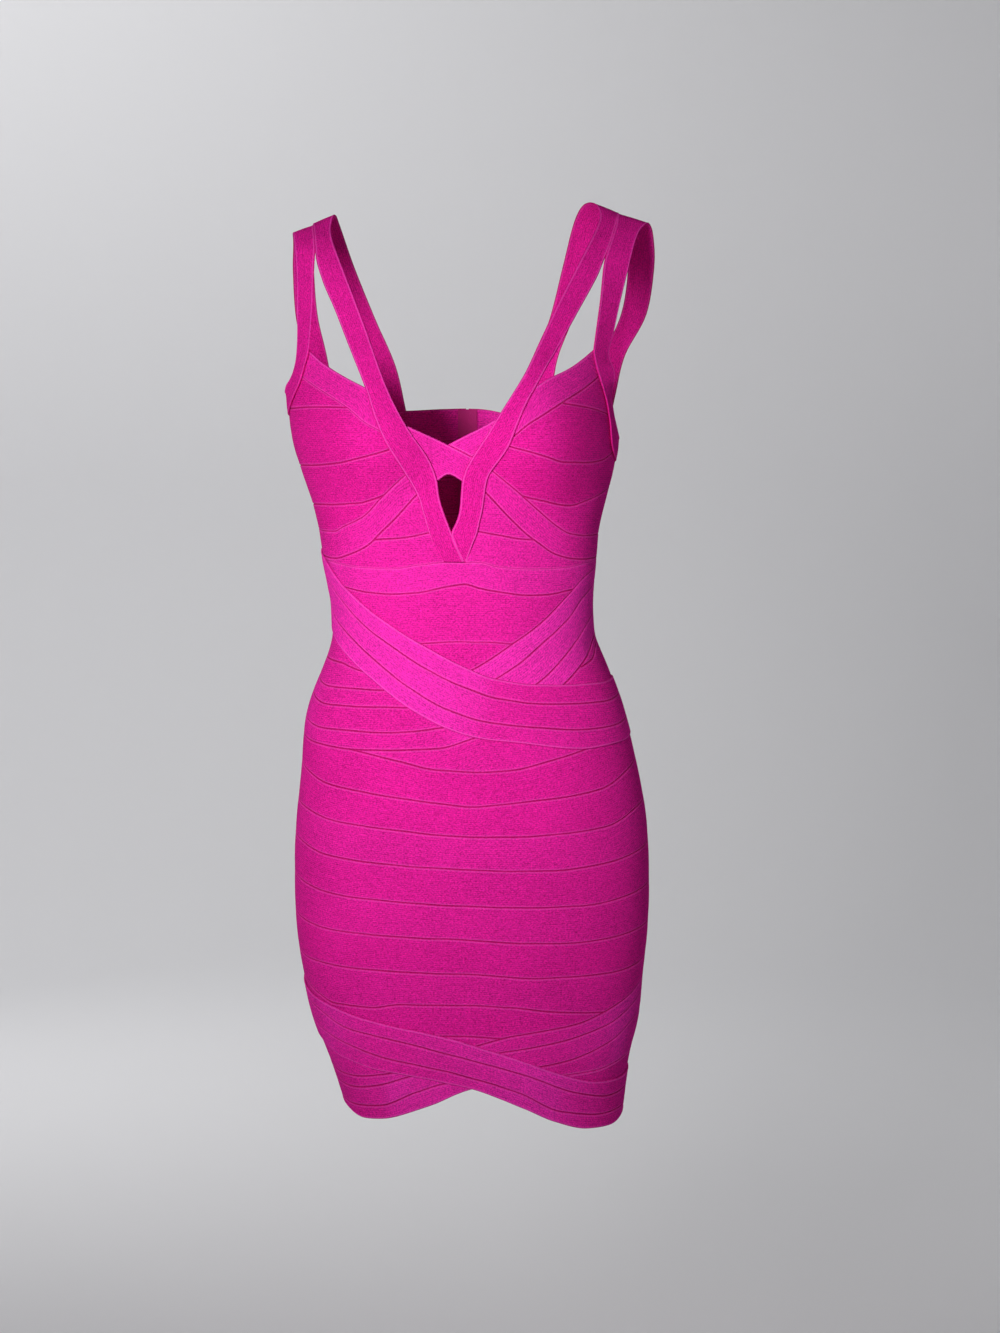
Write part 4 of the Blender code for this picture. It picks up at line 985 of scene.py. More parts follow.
    @staticmethod
    def kind(line: str, layer: int) -> EdgeKind:
        """How a strip ends along a line.

        Args:
            line: The line, with its mark.
            layer: The strip's layer.
        Returns:
            The kind of edge.
        """
        if line[-1] in "<>+-":
            return EdgeKind.TUCKED
        if line in FOLDED_LINES and not (layer == 0 and line in WRAP_EDGES):
            return EdgeKind.FOLD
        return EdgeKind.SEAM

    def long_edge(self, strip: Strip, angle: Array, is_upper: bool) -> LongEdge:
        """Upper or lower edge of a strip.

        Args:
            strip: The strip.
            angle: Angles of its columns.
            is_upper: Which of the two.
        Returns:
            The edge, half a seam's gap inside its line.
        """
        lines = strip.upper if is_upper else strip.lower
        height, which = self.choose(lines, angle, is_upper)
        edge = LongEdge(height, self.slant(lines, which, angle), 1 - self.shows(lines, which, angle),
                        [self.kind(lines[index], strip.layer) for index in which])
        gap = SEAM_GAP / 2 * edge.steep * edge.ends_as(EdgeKind.SEAM)
        edge.height = height - gap if is_upper else height + gap
        return edge

    def row_heights(self, top: LongEdge, low: LongEdge, width: Array) -> Array:
        """Heights of a strip's rows at each column, close to each other near its edges.

        Args:
            top: Its upper edge.
            low: Its lower edge.
            width: Distances between the two.
        Returns:
            Heights by row and column.
        """
        share = np.minimum(1, 0.9 * width / (EDGE_STEPS[-1] * (top.steep + low.steep)))
        near_top = top.height - EDGE_STEPS[:, None] * top.steep * share
        near_low = low.height + EDGE_STEPS[::-1, None] * low.steep * share
        plain = near_top[-1] - near_low[0]
        count = max(2, math.ceil(float(plain.max()) / self.row_step))
        between = near_top[-1] - plain * (np.arange(1, count)[:, None] / count)
        return np.concatenate((near_top, between, near_low))

    def ribs(self, strip: Strip, top: LongEdge, height: Array) -> Array:
        """How far across the ribs the points of a strip lie.

        Args:
            strip: The strip.
            top: Its upper edge.
            height: Heights of the points.
        Returns:
            Distances from the first rib in metres.
        """
        if strip.node.startswith(LEVEL_KNIT):
            return float(top.height.max()) - height
        even = np.ones(self.slant_columns) / self.slant_columns
        steep = np.pad(top.steep, self.slant_columns // 2, mode="edge")
        return (top.height - height) / np.convolve(steep, even, "valid")

    def grid(self, strip: Strip, first: float, last: float, end_kinds: tuple[EdgeKind, EdgeKind]) -> Grid:
        """Points of a strip.

        Args:
            strip: The strip.
            first: Least angle that it may reach.
            last: Greatest angle.
            end_kinds: How it ends at those two.
        Returns:
            Its grid.
        """
        angle = self.columns(strip, first, last)
        top, low = self.long_edge(strip, angle, True), self.long_edge(strip, angle, False)
        width = np.maximum(top.height - low.height, self.thinnest)
        height = self.row_heights(top, low, width)
        from_top, from_low = (top.height - height) / top.steep, (height - low.height) / low.steep
        lift = top.lift(from_top) + low.lift(from_low)
        away = np.minimum(from_top + top.faint * MM, from_low + low.faint * MM)
        radius = np.linalg.norm(self.figure.point(angle, height.mean(0))[:, :2], axis=-1)
        for end, end_kind in zip((first, last), end_kinds):
            aside = np.radians(np.abs(angle - end)) * radius
            lift = lift + self.end_share * np.minimum(EDGE_FORMS[end_kind].lift(aside), self.end_ridge)
            away = np.minimum(away, aside + self.end_faint)
        place = (top.height - height) / width
        swell = (1 - (2 * place - 1) ** 4) * np.minimum(1, width / self.crown_width)
        lift = np.maximum(lift, -self.deepest) + self.crown * swell
        sink = np.clip((np.abs(angle) - SIDE_SEAM + self.side_fade) / self.side_fade, 0, 1)
        base = strip.layer * LAYER_STEP * (1 - self.side_sink * sink * sink)
        full = np.broadcast_to(angle, height.shape)
        outer = self.figure.raised(full, height, base + lift)
        inner = self.figure.raised(full, height, base - WALL)
        sewn = top.ends_as(EdgeKind.SEAM)
        if sewn.any():
            self.seams.append(self.figure.raised(angle, top.height, base - self.thread_depth)[sewn])
        steps = np.linalg.norm(np.diff(outer[len(height) // 2], axis=0), axis=-1)
        shift = lot(strip.node + strip.upper[0], 997) * self.knit_shift
        along = np.concatenate(((0.0,), np.cumsum(steps))) + shift
        # Steeper strips get more painted sheen.
        rising = np.minimum(1, (top.steep + low.steep - 2) / self.full_slant)
        tone = strip_tone_and_sheen(strip.node, strip.upper[0], rising)
        free = np.where(from_top < from_low, top.ends_as(EdgeKind.FOLD), low.ends_as(EdgeKind.FOLD))
        return Grid(outer, inner, np.broadcast_to(along, height.shape), self.ribs(strip, top, height), away,
                    np.broadcast_to(tone, height.shape), free.astype(float))


class ClothShell:
    """Closed thin shells of one or more grids, joined into one piece of cloth."""

    smallest_side = 11 * MM  # least side of a cut that is stated
    slimmest = 0.45  # least share of its two sizes that a cut's area is taken to fill
    least_width = 10.1 * MM  # least width where that share asks for less
    spare = 1.01  # least that its two sizes give over its area
    sharp_from = 55.0  # degrees between faces from which an edge looks sharp

    def __init__(self, name: str, grids: list[Grid]) -> None:
        """Keep the piece's name and grids."""
        self.name, self.grids = name, grids

    def mesh(self) -> Mesh:
        """Mesh of the shells, with what the cloth's finish reads.

        Returns:
            The mesh, with its knit coordinates, its edge attributes that place the painted seam shade and
            ridge highlight, and its tone attribute with painted sheen.
        """
        points, faces, knit, away, tone, free, start = [], [], [], [], [], [], 0
        for grid in self.grids:
            rows, columns = grid.along.shape
            index = np.arange(rows * columns).reshape(rows, columns) + start
            under = index + rows * columns
            start += 2 * rows * columns
            points += [grid.outer.reshape(-1, 3), grid.inner.reshape(-1, 3)]
            faces += [self.quads(index), self.quads(under)[:, ::-1],
                      self.rim(index[0], under[0]), self.rim(under[-1], index[-1]),
                      self.rim(under[:, 0], index[:, 0])[:, ::-1],
                      self.rim(index[:, -1], under[:, -1])[:, ::-1]]
            knit += [np.stack((grid.along.ravel(), grid.across.ravel()), axis=-1)] * 2
            away += [grid.away.ravel()] * 2
            tone += [grid.tone.ravel()] * 2
            free += [grid.free.ravel(), np.zeros(grid.free.size)]
        corners = np.concatenate(faces)
        mesh = bpy.data.meshes.new(self.name)
        mesh.from_pydata(np.concatenate(points).tolist(), [], corners.tolist())
        layer = mesh.uv_layers.new(name="knit")
        layer.data.foreach_set("uv", np.concatenate(knit)[corners.ravel()].astype(np.float32).ravel())
        # The edge attributes place the painted seam shade and ridge highlight, and the tone attribute
        # carries the painted sheen.
        for name, values in (("edge_away", away), ("strip_tone_and_sheen", tone), ("free_edge", free)):
            attribute = mesh.attributes.new(name, "FLOAT", "POINT")
            attribute.data.foreach_set("value", np.concatenate(values).astype(np.float32))
        mesh.shade_smooth()
        mesh.set_sharp_from_angle(angle=math.radians(self.sharp_from))
        mesh.update()
        return mesh

    @staticmethod
    def quads(index: Array) -> Array:
        """Faces between the rows and columns of a grid of vertex numbers."""
        corners = (index[:-1, :-1], index[1:, :-1], index[1:, 1:], index[:-1, 1:])
        return np.stack(corners, axis=-1).reshape(-1, 4)

    @staticmethod
    def rim(outside: Array, inside: Array) -> Array:
        """Faces that close a shell along one of its sides."""
        return np.stack((outside[:-1], outside[1:], inside[1:], inside[:-1]), axis=-1)

    def build(self, finish: Material, node: str) -> Object:
        """Make the piece and hide the solid that it stands for.

        Args:
            finish: The cloth's material.
            node: The solid that the piece stands for.
        Returns:
            The piece.
        """
        piece = put_in_scene(self.name, self.mesh())
        piece.data.materials.append(finish)
        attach(piece, "dress")
        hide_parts(node)
        width, length, area = self.cut()
        min(area, width * length)
        log.info("%s: %.0f x %.0f mm cut, %d faces", self.name, width / MM, length / MM,
                 len(piece.data.polygons))
        return piece

    def cut(self) -> Triple:
        """Sizes of the piece's cloth, laid flat.

        Returns:
            Width, length and area.
        """
        widths, lengths, areas = zip(*(grid.flat_size() for grid in self.grids))
        length, area = max(*lengths, self.smallest_side), sum(areas)
        width = min(max(sum(widths), self.smallest_side), area / (self.slimmest * length))
        return max(width, area / length * self.spare, self.least_width), length, area


@dataclass
class DressBody:
    """Front and back of the dress without its straps."""

    maker: StripMaker
    zip_end: float = -560 * MM
    zip_slot: float = 2.4 * MM
    zip_margin: float = 10 * MM  # a strip that begins this close to the zip's end is closed

    def front(self) -> dict[str, list[Grid]]:
        """Strips of the front.

        Returns:
            Their grids, by node.
        """
        found: dict[str, list[Grid]] = {}
        for strip in FRONT_STRIPS:
            grid = self.maker.grid(strip, -SIDE_SEAM, SIDE_SEAM, (EdgeKind.SEAM, EdgeKind.SEAM))
            found.setdefault(strip.node, []).append(grid)
        return found

    def back(self) -> dict[str, list[Grid]]:
        """Strips of the back.

        Returns:
            Their grids, by node.
        """
        names = [row[0] for row in BACK_EDGES]
        found: dict[str, list[Grid]] = {}
        for side, word in ((-1, "left"), (1, "right")):
            for piece, upper, lower in BACK_PIECES:
                edges = names[names.index(upper):names.index(lower) + 1]
                node = f"back_{piece}_{word}"
                found[node] = [self.back_strip(side, node, *pair) for pair in zip(edges, edges[1:])]
        return found

    def back_strip(self, side: int, node: str, above: str, below: str) -> Grid:
        """One strip of the back.

        Args:
            side: -1 for the viewer's left, 1 for the right.
            node: The solid that it belongs to.
            above: Its upper edge.
            below: Its lower edge.
        Returns:
            Its grid.
        """
        middle = float(self.maker.chart.height(above, 180.0))
        opens = middle > self.zip_end + self.zip_margin
        half = self.zip_slot / 2 if opens else SEAM_GAP / 2
        depth = float(self.maker.figure.point(180.0, middle)[1])
        slot = 180 - math.degrees(half / depth)
        kind = EdgeKind.FOLD if opens else EdgeKind.SEAM
        strip = Strip(node, (above,), (below,), 1.5 * SIDE_SEAM * side)
        if side > 0:
            return self.maker.grid(strip, SIDE_SEAM, slot, (EdgeKind.SEAM, kind))
        return self.maker.grid(strip, -slot, -SIDE_SEAM, (kind, EdgeKind.SEAM))


@dataclass
class Straps:
    """The four straps over the shoulders."""

    figure: Figure
    step_out: float = 1.7 * MM
    wall: float = 1.2 * MM
    crown: float = 0.3 * MM
    rows_between: int = 7
    columns_between: int = 4
    end_sink: float = 2.1 * MM  # how far an end sinks to its seam
    end_reach: float = 8.0 * MM
    tuck: float = 2.2 * MM  # how far an end goes on under its seam
    tuck_slope: float = 0.4  # how steeply it goes down there
    inner_sink: float = 0.8  # how much of the outer face's sinking its inner face follows
    inner_round: float = 0.6  # how much of the outer face's rounding it has in turn
    settled: str = "strap_inner_left"  # the strap whose foot lies flatter beside the keyhole
    settle: float = 1.2 * MM  # how much flatter
    settle_reach: float = 38.0 * MM
    settled_faint: float = 1.6 * MM  # how much farther away its far edge counts there for the painted seam shade and ridge highlight

    def rail(self, points: Array) -> Array:
        """Smooth curve through points.

        Args:
            points: What it runs through.
        Returns:
            Closely spaced points of the curve.
        """
        padded = np.concatenate((points[:1], points, points[-1:]))
        curve = []
        for i in range(len(points) - 1):
            before, start, stop, after = padded[i:i + 4]
            for t in np.arange(self.rows_between) / self.rows_between:
                curve.append(0.5 * (2 * start + (stop - before) * t
                                    + (2 * before - 5 * start + 4 * stop - after) * t * t
                                    + (3 * start - before - 3 * stop + after) * t ** 3))
        curve.append(points[-1])
        return np.array(curve)

    def places(self, lies: StrapLies, row: tuple[float, ...]) -> list[Array]:
        """Points of a strap at one row of its table.

        Args:
            lies: Where it lies there.
            row: Its two edges.
        Returns:
            Points of its near edge, its centre and its far edge.
        """
        near, far = np.array(row, float).reshape(2, -1)
        if lies is StrapLies.ON_BODY:
            return [self.figure.raised(angle, height * MM, self.step_out)
                    for angle, height in (near, (near + far) / 2, far)]
        near, far = near * MM, far * MM
        centre = (near + far) / 2
        if lies is StrapLies.BESIDE_BODY:
            angle = np.degrees(np.arctan2(centre[0], -centre[1]))
            centre = self.figure.raised(angle, centre[2], self.step_out)
        return [near, centre, far]

    def rails(self, name: str) -> Array:
        """Long curves of a strap, with their ends run on under the seams.

        Args:
            name: The strap.
        Returns:
            Points of its near edge, its centre and its far edge.
        """
        rows = np.array([self.places(lies, row) for lies, run in STRAPS[name] for row in run])
        rails = np.array([self.rail(points) for points in rows.swapaxes(0, 1)])
        first_step, last_step = rails[:, :1] - rails[:, 1:2], rails[:, -1:] - rails[:, -2:-1]
        return np.concatenate((rails[:, :1] + first_step * self.tuck / np.linalg.norm(first_step[1]), rails,
                               rails[:, -1:] + last_step * self.tuck / np.linalg.norm(last_step[1])), axis=1)

    def normals(self, name: str, plain: Array) -> Array:
        """Unit normals of a strap, away from the body.

        Args:
            name: The strap.
            plain: Its points.
        Returns:
            The normals.
        """
        found = np.cross(np.gradient(plain, axis=1), np.gradient(plain, axis=0))
        found /= np.linalg.norm(found, axis=-1, keepdims=True)
        angle, height = STRAPS[name][0][1][1][:2]
        outwards = self.figure.normal(angle, height * MM)
        return found if np.dot(found[len(plain) // 2, self.rows_between], outwards) >= 0 else -found

    def grid(self, name: str) -> Grid:
        """Points of a strap, from the rows of its table.

        Args:
            name: The strap.
        Returns:
            Its grid, with its length along the columns.
        """
        rails = self.rails(name)
        edge = EDGE_STEPS / float(np.linalg.norm(rails[0] - rails[2], axis=-1).mean())
        between = np.linspace(edge[-1], 1 - edge[-1], self.columns_between + 2)[1:-1]
        share = np.concatenate((edge, between, (1 - edge)[::-1]))
        weights = np.stack(((1 - share) * (1 - 2 * share), 4 * share * (1 - share), share * (2 * share - 1)),
                           axis=-1)
        plain = np.einsum("sk,kcx->scx", weights, rails)
        normal = self.normals(name, plain)
        width = np.linalg.norm(np.diff(plain, axis=0), axis=-1).sum(0)
        aside = share[:, None] * width
        away = np.minimum(aside, width - aside)
        length = np.concatenate(((0.0,), np.cumsum(np.linalg.norm(np.diff(rails[1], axis=0), axis=-1))))
        from_end = np.minimum(length, length[-1] - length) - self.tuck
        form = EDGE_FORMS[EdgeKind.FOLD]
        lift = form.lift(away) + self.crown * np.sin(math.pi * share)[:, None]
        sink = self.end_sink * np.exp(-(np.maximum(from_end, 0) / self.end_reach) ** 2)
        sink = sink + self.tuck_slope * np.maximum(-from_end, 0) + 0 * away
        if name == self.settled:
            foot = np.exp(-((length - self.tuck) / self.settle_reach) ** 2) * share[:, None]
            sink = np.maximum(sink, self.settle * foot)
            away = away + self.settled_faint * foot * (share > 0.5)[:, None]
        outer = plain + normal * (lift - sink)[..., None]
        depth = self.wall + self.inner_sink * sink + self.inner_round * np.minimum(form.lift(away), 0)
        inner = plain - normal * depth[..., None]
        parts = (outer, inner, np.broadcast_to(length, away.shape), aside, away,
                 strip_tone_and_sheen(name, "strap", np.ones_like(away)), np.ones_like(away))
        grid = Grid(*parts)
        return Grid(*(part[::-1] for part in parts)) if self.inside_out(grid) else grid

    @staticmethod
    def inside_out(grid: Grid) -> bool:
        """Whether a grid's faces would point to its inner side.

        Args:
            grid: The grid.
        Returns:
            True if they would.
        """
        row, column = grid.outer.shape[0] // 2, grid.outer.shape[1] // 2
        down = grid.outer[row + 1, column] - grid.outer[row, column]
        right = grid.outer[row, column + 1] - grid.outer[row, column]
        return bool(np.dot(np.cross(down, right), grid.outer[row, column] - grid.inner[row, column]) < 0)


class Nodes:
    """Short way to lay out a node tree."""

    def __init__(self, tree: NodeTree) -> None:
        """Start with a tree."""
        self.tree = tree

    def fill(self, node: Node, inputs: dict[str | int, object]) -> None:
        """Give a node's inputs their values, or the sockets that feed them.

        Args:
            node: The node.
            inputs: What each input gets, by its name or number.
        """
        for name, value in inputs.items():
            if isinstance(value, NodeSocket):
                self.tree.links.new(value, node.inputs[name])
            else:
                node.inputs[name].default_value = value

    def add(self, kind: str, inputs: dict[str | int, object] | None = None, **settings: object) -> Node:
        """Add a node.

        Args:
            kind: The node's type.
            inputs: What its inputs get, by name or number.
            settings: Its other properties.
        Returns:
            The node.
        """
        node = self.tree.nodes.new(kind)
        for name, value in settings.items():
            setattr(node, name, value)
        self.fill(node, inputs or {})
        return node

    def math(self, operation: str, *values: object, clamp: bool = False) -> NodeSocket:
        """Result of a sum on sockets or numbers, kept from 0 to 1 if it is clamped."""
        inputs = dict(enumerate(values))
        return self.add("ShaderNodeMath", inputs, operation=operation, use_clamp=clamp).outputs[0]

    def scaled(self, value: object, factor: object) -> NodeSocket:
        """A value times another."""
        return self.math("MULTIPLY", value, factor)

    def attribute(self, name: str) -> NodeSocket:
        """A number that the mesh carries."""
        return self.add("ShaderNodeAttribute", attribute_name=name).outputs["Fac"]

    def place(self) -> NodeSocket:
        """Coordinates of the object."""
        return self.add("ShaderNodeTexCoord").outputs["Object"]

    def noise(self, scale: float, detail: float, vector: NodeSocket) -> NodeSocket:
        """Cloudy value from 0 to 1, with so many spots for each metre and so many finer layers."""
        inputs = {"Scale": scale, "Detail": detail, "Vector": vector}
        return self.add("ShaderNodeTexNoise", inputs).outputs["Fac"]

    def mix(self, share: object, first: object, second: object, blend: str = "MIX") -> NodeSocket:
        """Mix of two colours or their sockets, with a share of the second one."""
        inputs = {0: share, 6: first, 7: second}
        return self.add("ShaderNodeMix", inputs, data_type="RGBA", blend_type=blend).outputs[2]

    def relief(self, height: NodeSocket, depth: float, strength: float = 1.0) -> NodeSocket:
        """Normals of a surface with a relief that is so many metres deep."""
        inputs = {"Height": height, "Distance": depth, "Strength": strength}
        return self.add("ShaderNodeBump", inputs).outputs[0]


def plain_material(name: str) -> tuple[Material, Nodes, Node]:
    """New material with only its shader.

    Args:
        name: The material's name.
    Returns:
        The material, its nodes and its shader.
    """
    material = bpy.data.materials.new(name)
    material.use_nodes = True
    return material, Nodes(material.node_tree), material.node_tree.nodes["Principled BSDF"]


def darker(colour: Colour, share: float) -> Colour:
    """A colour with only a share of its light."""
    return (*(part * share for part in colour[:3]), 1.0)


@dataclass(frozen=True)
class Grain:
    """Noise that runs along the ribs."""

    along: float  # spots for each metre
    across: float
    shade: float  # how much it lightens and darkens the cloth

    def value(self, nodes: Nodes, knit: NodeSocket) -> NodeSocket:
        """The noise at the knit coordinates.

        Args:
            nodes: The tree that it goes into.
            knit: The coordinates.
        Returns:
            Its value.
        """
        stretch = nodes.add("ShaderNodeVectorMath", {0: knit, 1: (self.along, self.across, 1.0)},
                            operation="MULTIPLY")
        return nodes.noise(1.0, 1.0, stretch.outputs[0])


@dataclass(frozen=True)
class BandageKnit:
    """Finish of the ribbed bandage knit, read from the knit coordinates of each strip."""

    plain: Colour = (0.72, 0.010, 0.265, 1.0)
    # Colour at the light end of the strips' tones, which are partly their own tone and partly painted sheen
    # and painted light.
    sheen_lit: Colour = (0.89, 0.030, 0.44, 1.0)
    fleck: Colour = (0.45, 0.012, 0.30, 1.0)
    # Dark colour laid on as painted shade in the grooves of the seams and along the free edges.
    seam: Colour = (0.43, 0.0, 0.088, 1.0)
    # Painted highlight on the ridges beside the strips' edges.
    ridge_highlight: Colour = (0.95, 0.09, 0.56, 1.0)
    sheen_tint: Colour = (0.95, 0.35, 0.85, 1.0)
    rib_pitch: float = 1.75 * MM
    stitch_pitch: float = 1.3 * MM
    stitch_slant: float = 1.4  # how far the loops lean over from rib to rib, in radians
    rib_share: float = 0.6  # of the relief, beside the loops
    rib_depth: float = 0.12 * MM
    rib_shade: float = 0.15
    lightness: float = 1.03
    dashes: Grain = Grain(330.0, 1000.0, 0.90)
    specks: Grain = Grain(620.0, 700.0, 1.30)
    mottle: Grain = Grain(150.0, 240.0, 0.35)
    streaks: Grain = Grain(70.0, 430.0, 0.28)
    cloud_scale: float = 16.0
    cloud_shade: float = 0.35
    fleck_from: float = 0.52  # value of the dashes from which they are flecks
    fleck_gain: float = 3.2
    fleck_share: float = 0.70
    dash_relief: float = 1.6
    ridge_at: float = 1.30  # millimetres from an edge
    ridge_reach: float = 0.5
    ridge_highlight_share: float = 0.45  # how much painted highlight the ridge beside a seam gets
    free_ridge_highlight_share: float = 0.25  # how much more beside a free edge
    # Painted shade in the grooves at the strips' edges.
    groove_shade_reach: float = 0.70  # millimetres
    groove_shade_share: float = 0.85
    free_groove_shade_share: float = 0.55  # how much less of it at a free edge
    roughness: float = 0.62
    sheen: float = 0.05
    sheen_roughness: float = 0.35

    def make(self) -> Material:
        """Build the material.

        Returns:
            The material.
        """
        material, nodes, shader = plain_material("bandage_knit_cloth")
        knit = nodes.add("ShaderNodeUVMap", uv_map="knit").outputs["UV"]
        relief = self.loops(nodes, knit)
        grains = [(grain.value(nodes, knit), grain.shade)
                  for grain in (self.dashes, self.specks, self.mottle, self.streaks)]
        grains.append((nodes.noise(self.cloud_scale, 3.0, nodes.place()), self.cloud_shade))
        dashes = grains[0][0]
        # Each strip's tone, with painted light and painted sheen.
        colour = nodes.mix(nodes.attribute("strip_tone_and_sheen"), self.plain, self.sheen_lit)
        flecks = nodes.math("SUBTRACT", dashes, self.fleck_from)
        flecks = nodes.math("MULTIPLY", flecks, self.fleck_gain, clamp=True)
        colour = nodes.mix(nodes.scaled(flecks, self.fleck_share), colour, self.fleck)
        shade = nodes.math("ADD", nodes.scaled(relief, self.rib_shade), self.lightness)
        for noise, depth in grains:
            shade = nodes.math("ADD", shade, nodes.scaled(nodes.math("SUBTRACT", noise, 0.5), depth))
        grey = nodes.add("ShaderNodeCombineXYZ", {0: shade, 1: shade, 2: shade})
        colour = nodes.mix(1.0, colour, grey.outputs[0], "MULTIPLY")
        height = nodes.math("ADD", relief, nodes.scaled(dashes, self.dash_relief))
        nodes.fill(shader, {
            "Base Color": self.edges(nodes, colour), "Normal": nodes.relief(height, self.rib_depth, 0.8),
            "Roughness": self.roughness, "Specular IOR Level": 0.0, "Sheen Weight": self.sheen,
            "Sheen Roughness": self.sheen_roughness, "Sheen Tint": self.sheen_tint})
        return material

    def loops(self, nodes: Nodes, knit: NodeSocket) -> NodeSocket:
        """Relief of the ribs and their loops.

        Args:
            nodes: The tree.
            knit: The knit coordinates.
        Returns:
            The relief's socket.
        """
        along, across = nodes.add("ShaderNodeSeparateXYZ", {0: knit}).outputs[:2]
        rib = nodes.math("SINE", nodes.scaled(across, math.tau / self.rib_pitch))
        turn = nodes.math("ADD", nodes.scaled(along, math.tau / self.stitch_pitch),
                          nodes.scaled(rib, self.stitch_slant))
        return nodes.math("ADD", nodes.scaled(rib, self.rib_share),
                          nodes.scaled(nodes.math("SINE", turn), 1 - self.rib_share))

    def edges(self, nodes: Nodes, colour: NodeSocket) -> NodeSocket:
        """Colour of the cloth with a painted highlight on the ridges beside its edges and painted shade in
        the grooves of its seams and along its free edges.

        Args:
            nodes: The tree.
            colour: The plain colour.
        Returns:
            The colour's socket.
        """
        away = nodes.math("DIVIDE", nodes.attribute("edge_away"), MM)
        free = nodes.attribute("free_edge")
        # Painted highlight on the ridge beside each edge, more beside a free one.
        ridge_highlight_amount = nodes.math("ADD", nodes.scaled(free, self.free_ridge_highlight_share), self.ridge_highlight_share)
        ridge = nodes.scaled(self.bell(nodes, away, self.ridge_at, self.ridge_reach), ridge_highlight_amount)
        # Painted shade in the groove at each edge, less at a free one.
        deep = nodes.math("SUBTRACT", self.groove_shade_share, nodes.scaled(free, self.free_groove_shade_share))
        groove_shade = nodes.scaled(self.bell(nodes, away, 0.0, self.groove_shade_reach), deep)
        return nodes.mix(groove_shade, nodes.mix(ridge, colour, self.ridge_highlight), self.seam)

    @staticmethod
    def bell(nodes: Nodes, value: NodeSocket, centre: float, reach: float) -> NodeSocket:
        """Bell curve of a value, 1 at its centre."""
        apart = nodes.math("DIVIDE", nodes.math("SUBTRACT", value, centre), reach)
        return nodes.math("POWER", math.e, nodes.scaled(nodes.scaled(apart, apart), -1.0))


@dataclass(frozen=True)
class SewingThread:
    """Finish of the linking thread in the seams."""

    colour: Colour = (0.55, 0.008, 0.18, 1.0)
    roughness: float = 0.6
    cloud_scale: float = 300.0

    def make(self) -> Material:
        """Build the material.

        Returns:
            The material.
        """
        material, nodes, shader = plain_material("linking_thread")
        cloud = nodes.noise(self.cloud_scale, 1.0, nodes.place())
        nodes.fill(shader, {"Base Color": nodes.mix(cloud, darker(self.colour, 0.6), self.colour),
                            "Roughness": self.roughness})
        return material


@dataclass(frozen=True)
class ZipLacquer:
    """Finish of the lacquered slider, pull tab and teeth."""

    name: str = "zip_lacquer"
    colour: Colour = (0.60, 0.02, 0.24, 1.0)
    roughness: float = 0.3
    metallic: float = 0.35
    coat: float = 0.4
    coat_roughness: float = 0.12
    wear_scale: float = 420.0
    wear_depth: float = 0.03 * MM
    wear_spread: float = 0.2  # how far the wear takes the roughness up and down in all

    def make(self) -> Material:
        """Build the material.

        Returns:
            The material.
        """
        material, nodes, shader = plain_material(self.name)
        wear = nodes.noise(self.wear_scale, 3.0, nodes.place())
        smoothest = self.roughness - self.wear_spread / 2
        nodes.fill(shader, {
            "Base Color": nodes.mix(wear, darker(self.colour, 0.7), self.colour),
            "Roughness": nodes.math("ADD", nodes.scaled(wear, self.wear_spread), smoothest),
            "Metallic": self.metallic, "Coat Weight": self.coat, "Coat Roughness": self.coat_roughness,
            "Normal": nodes.relief(wear, self.wear_depth)})
        return material


@dataclass(frozen=True)
class TapeWeave:
    """Finish of the zip's woven tape."""

    colour: Colour = (0.70, 0.010, 0.26, 1.0)
    pitch: float = 0.9 * MM
    depth: float = 0.06 * MM
    roughness: float = 0.7

    def make(self) -> Material:
        """Build the material.

        Returns:
            The material.
        """
        material, nodes, shader = plain_material("zip_tape_weave")
        across, _, upwards = nodes.add("ShaderNodeSeparateXYZ", {0: nodes.place()}).outputs
        turns = [nodes.scaled(part, math.tau / self.pitch) for part in (upwards, across)]
        twill = nodes.math("SINE", nodes.math("ADD", *turns))
        share = nodes.math("ADD", nodes.scaled(twill, 0.25), 0.6)
        nodes.fill(shader, {"Base Color": nodes.mix(share, darker(self.colour, 0.7), self.colour),
                            "Normal": nodes.relief(twill, self.depth), "Roughness": self.roughness})
        return material


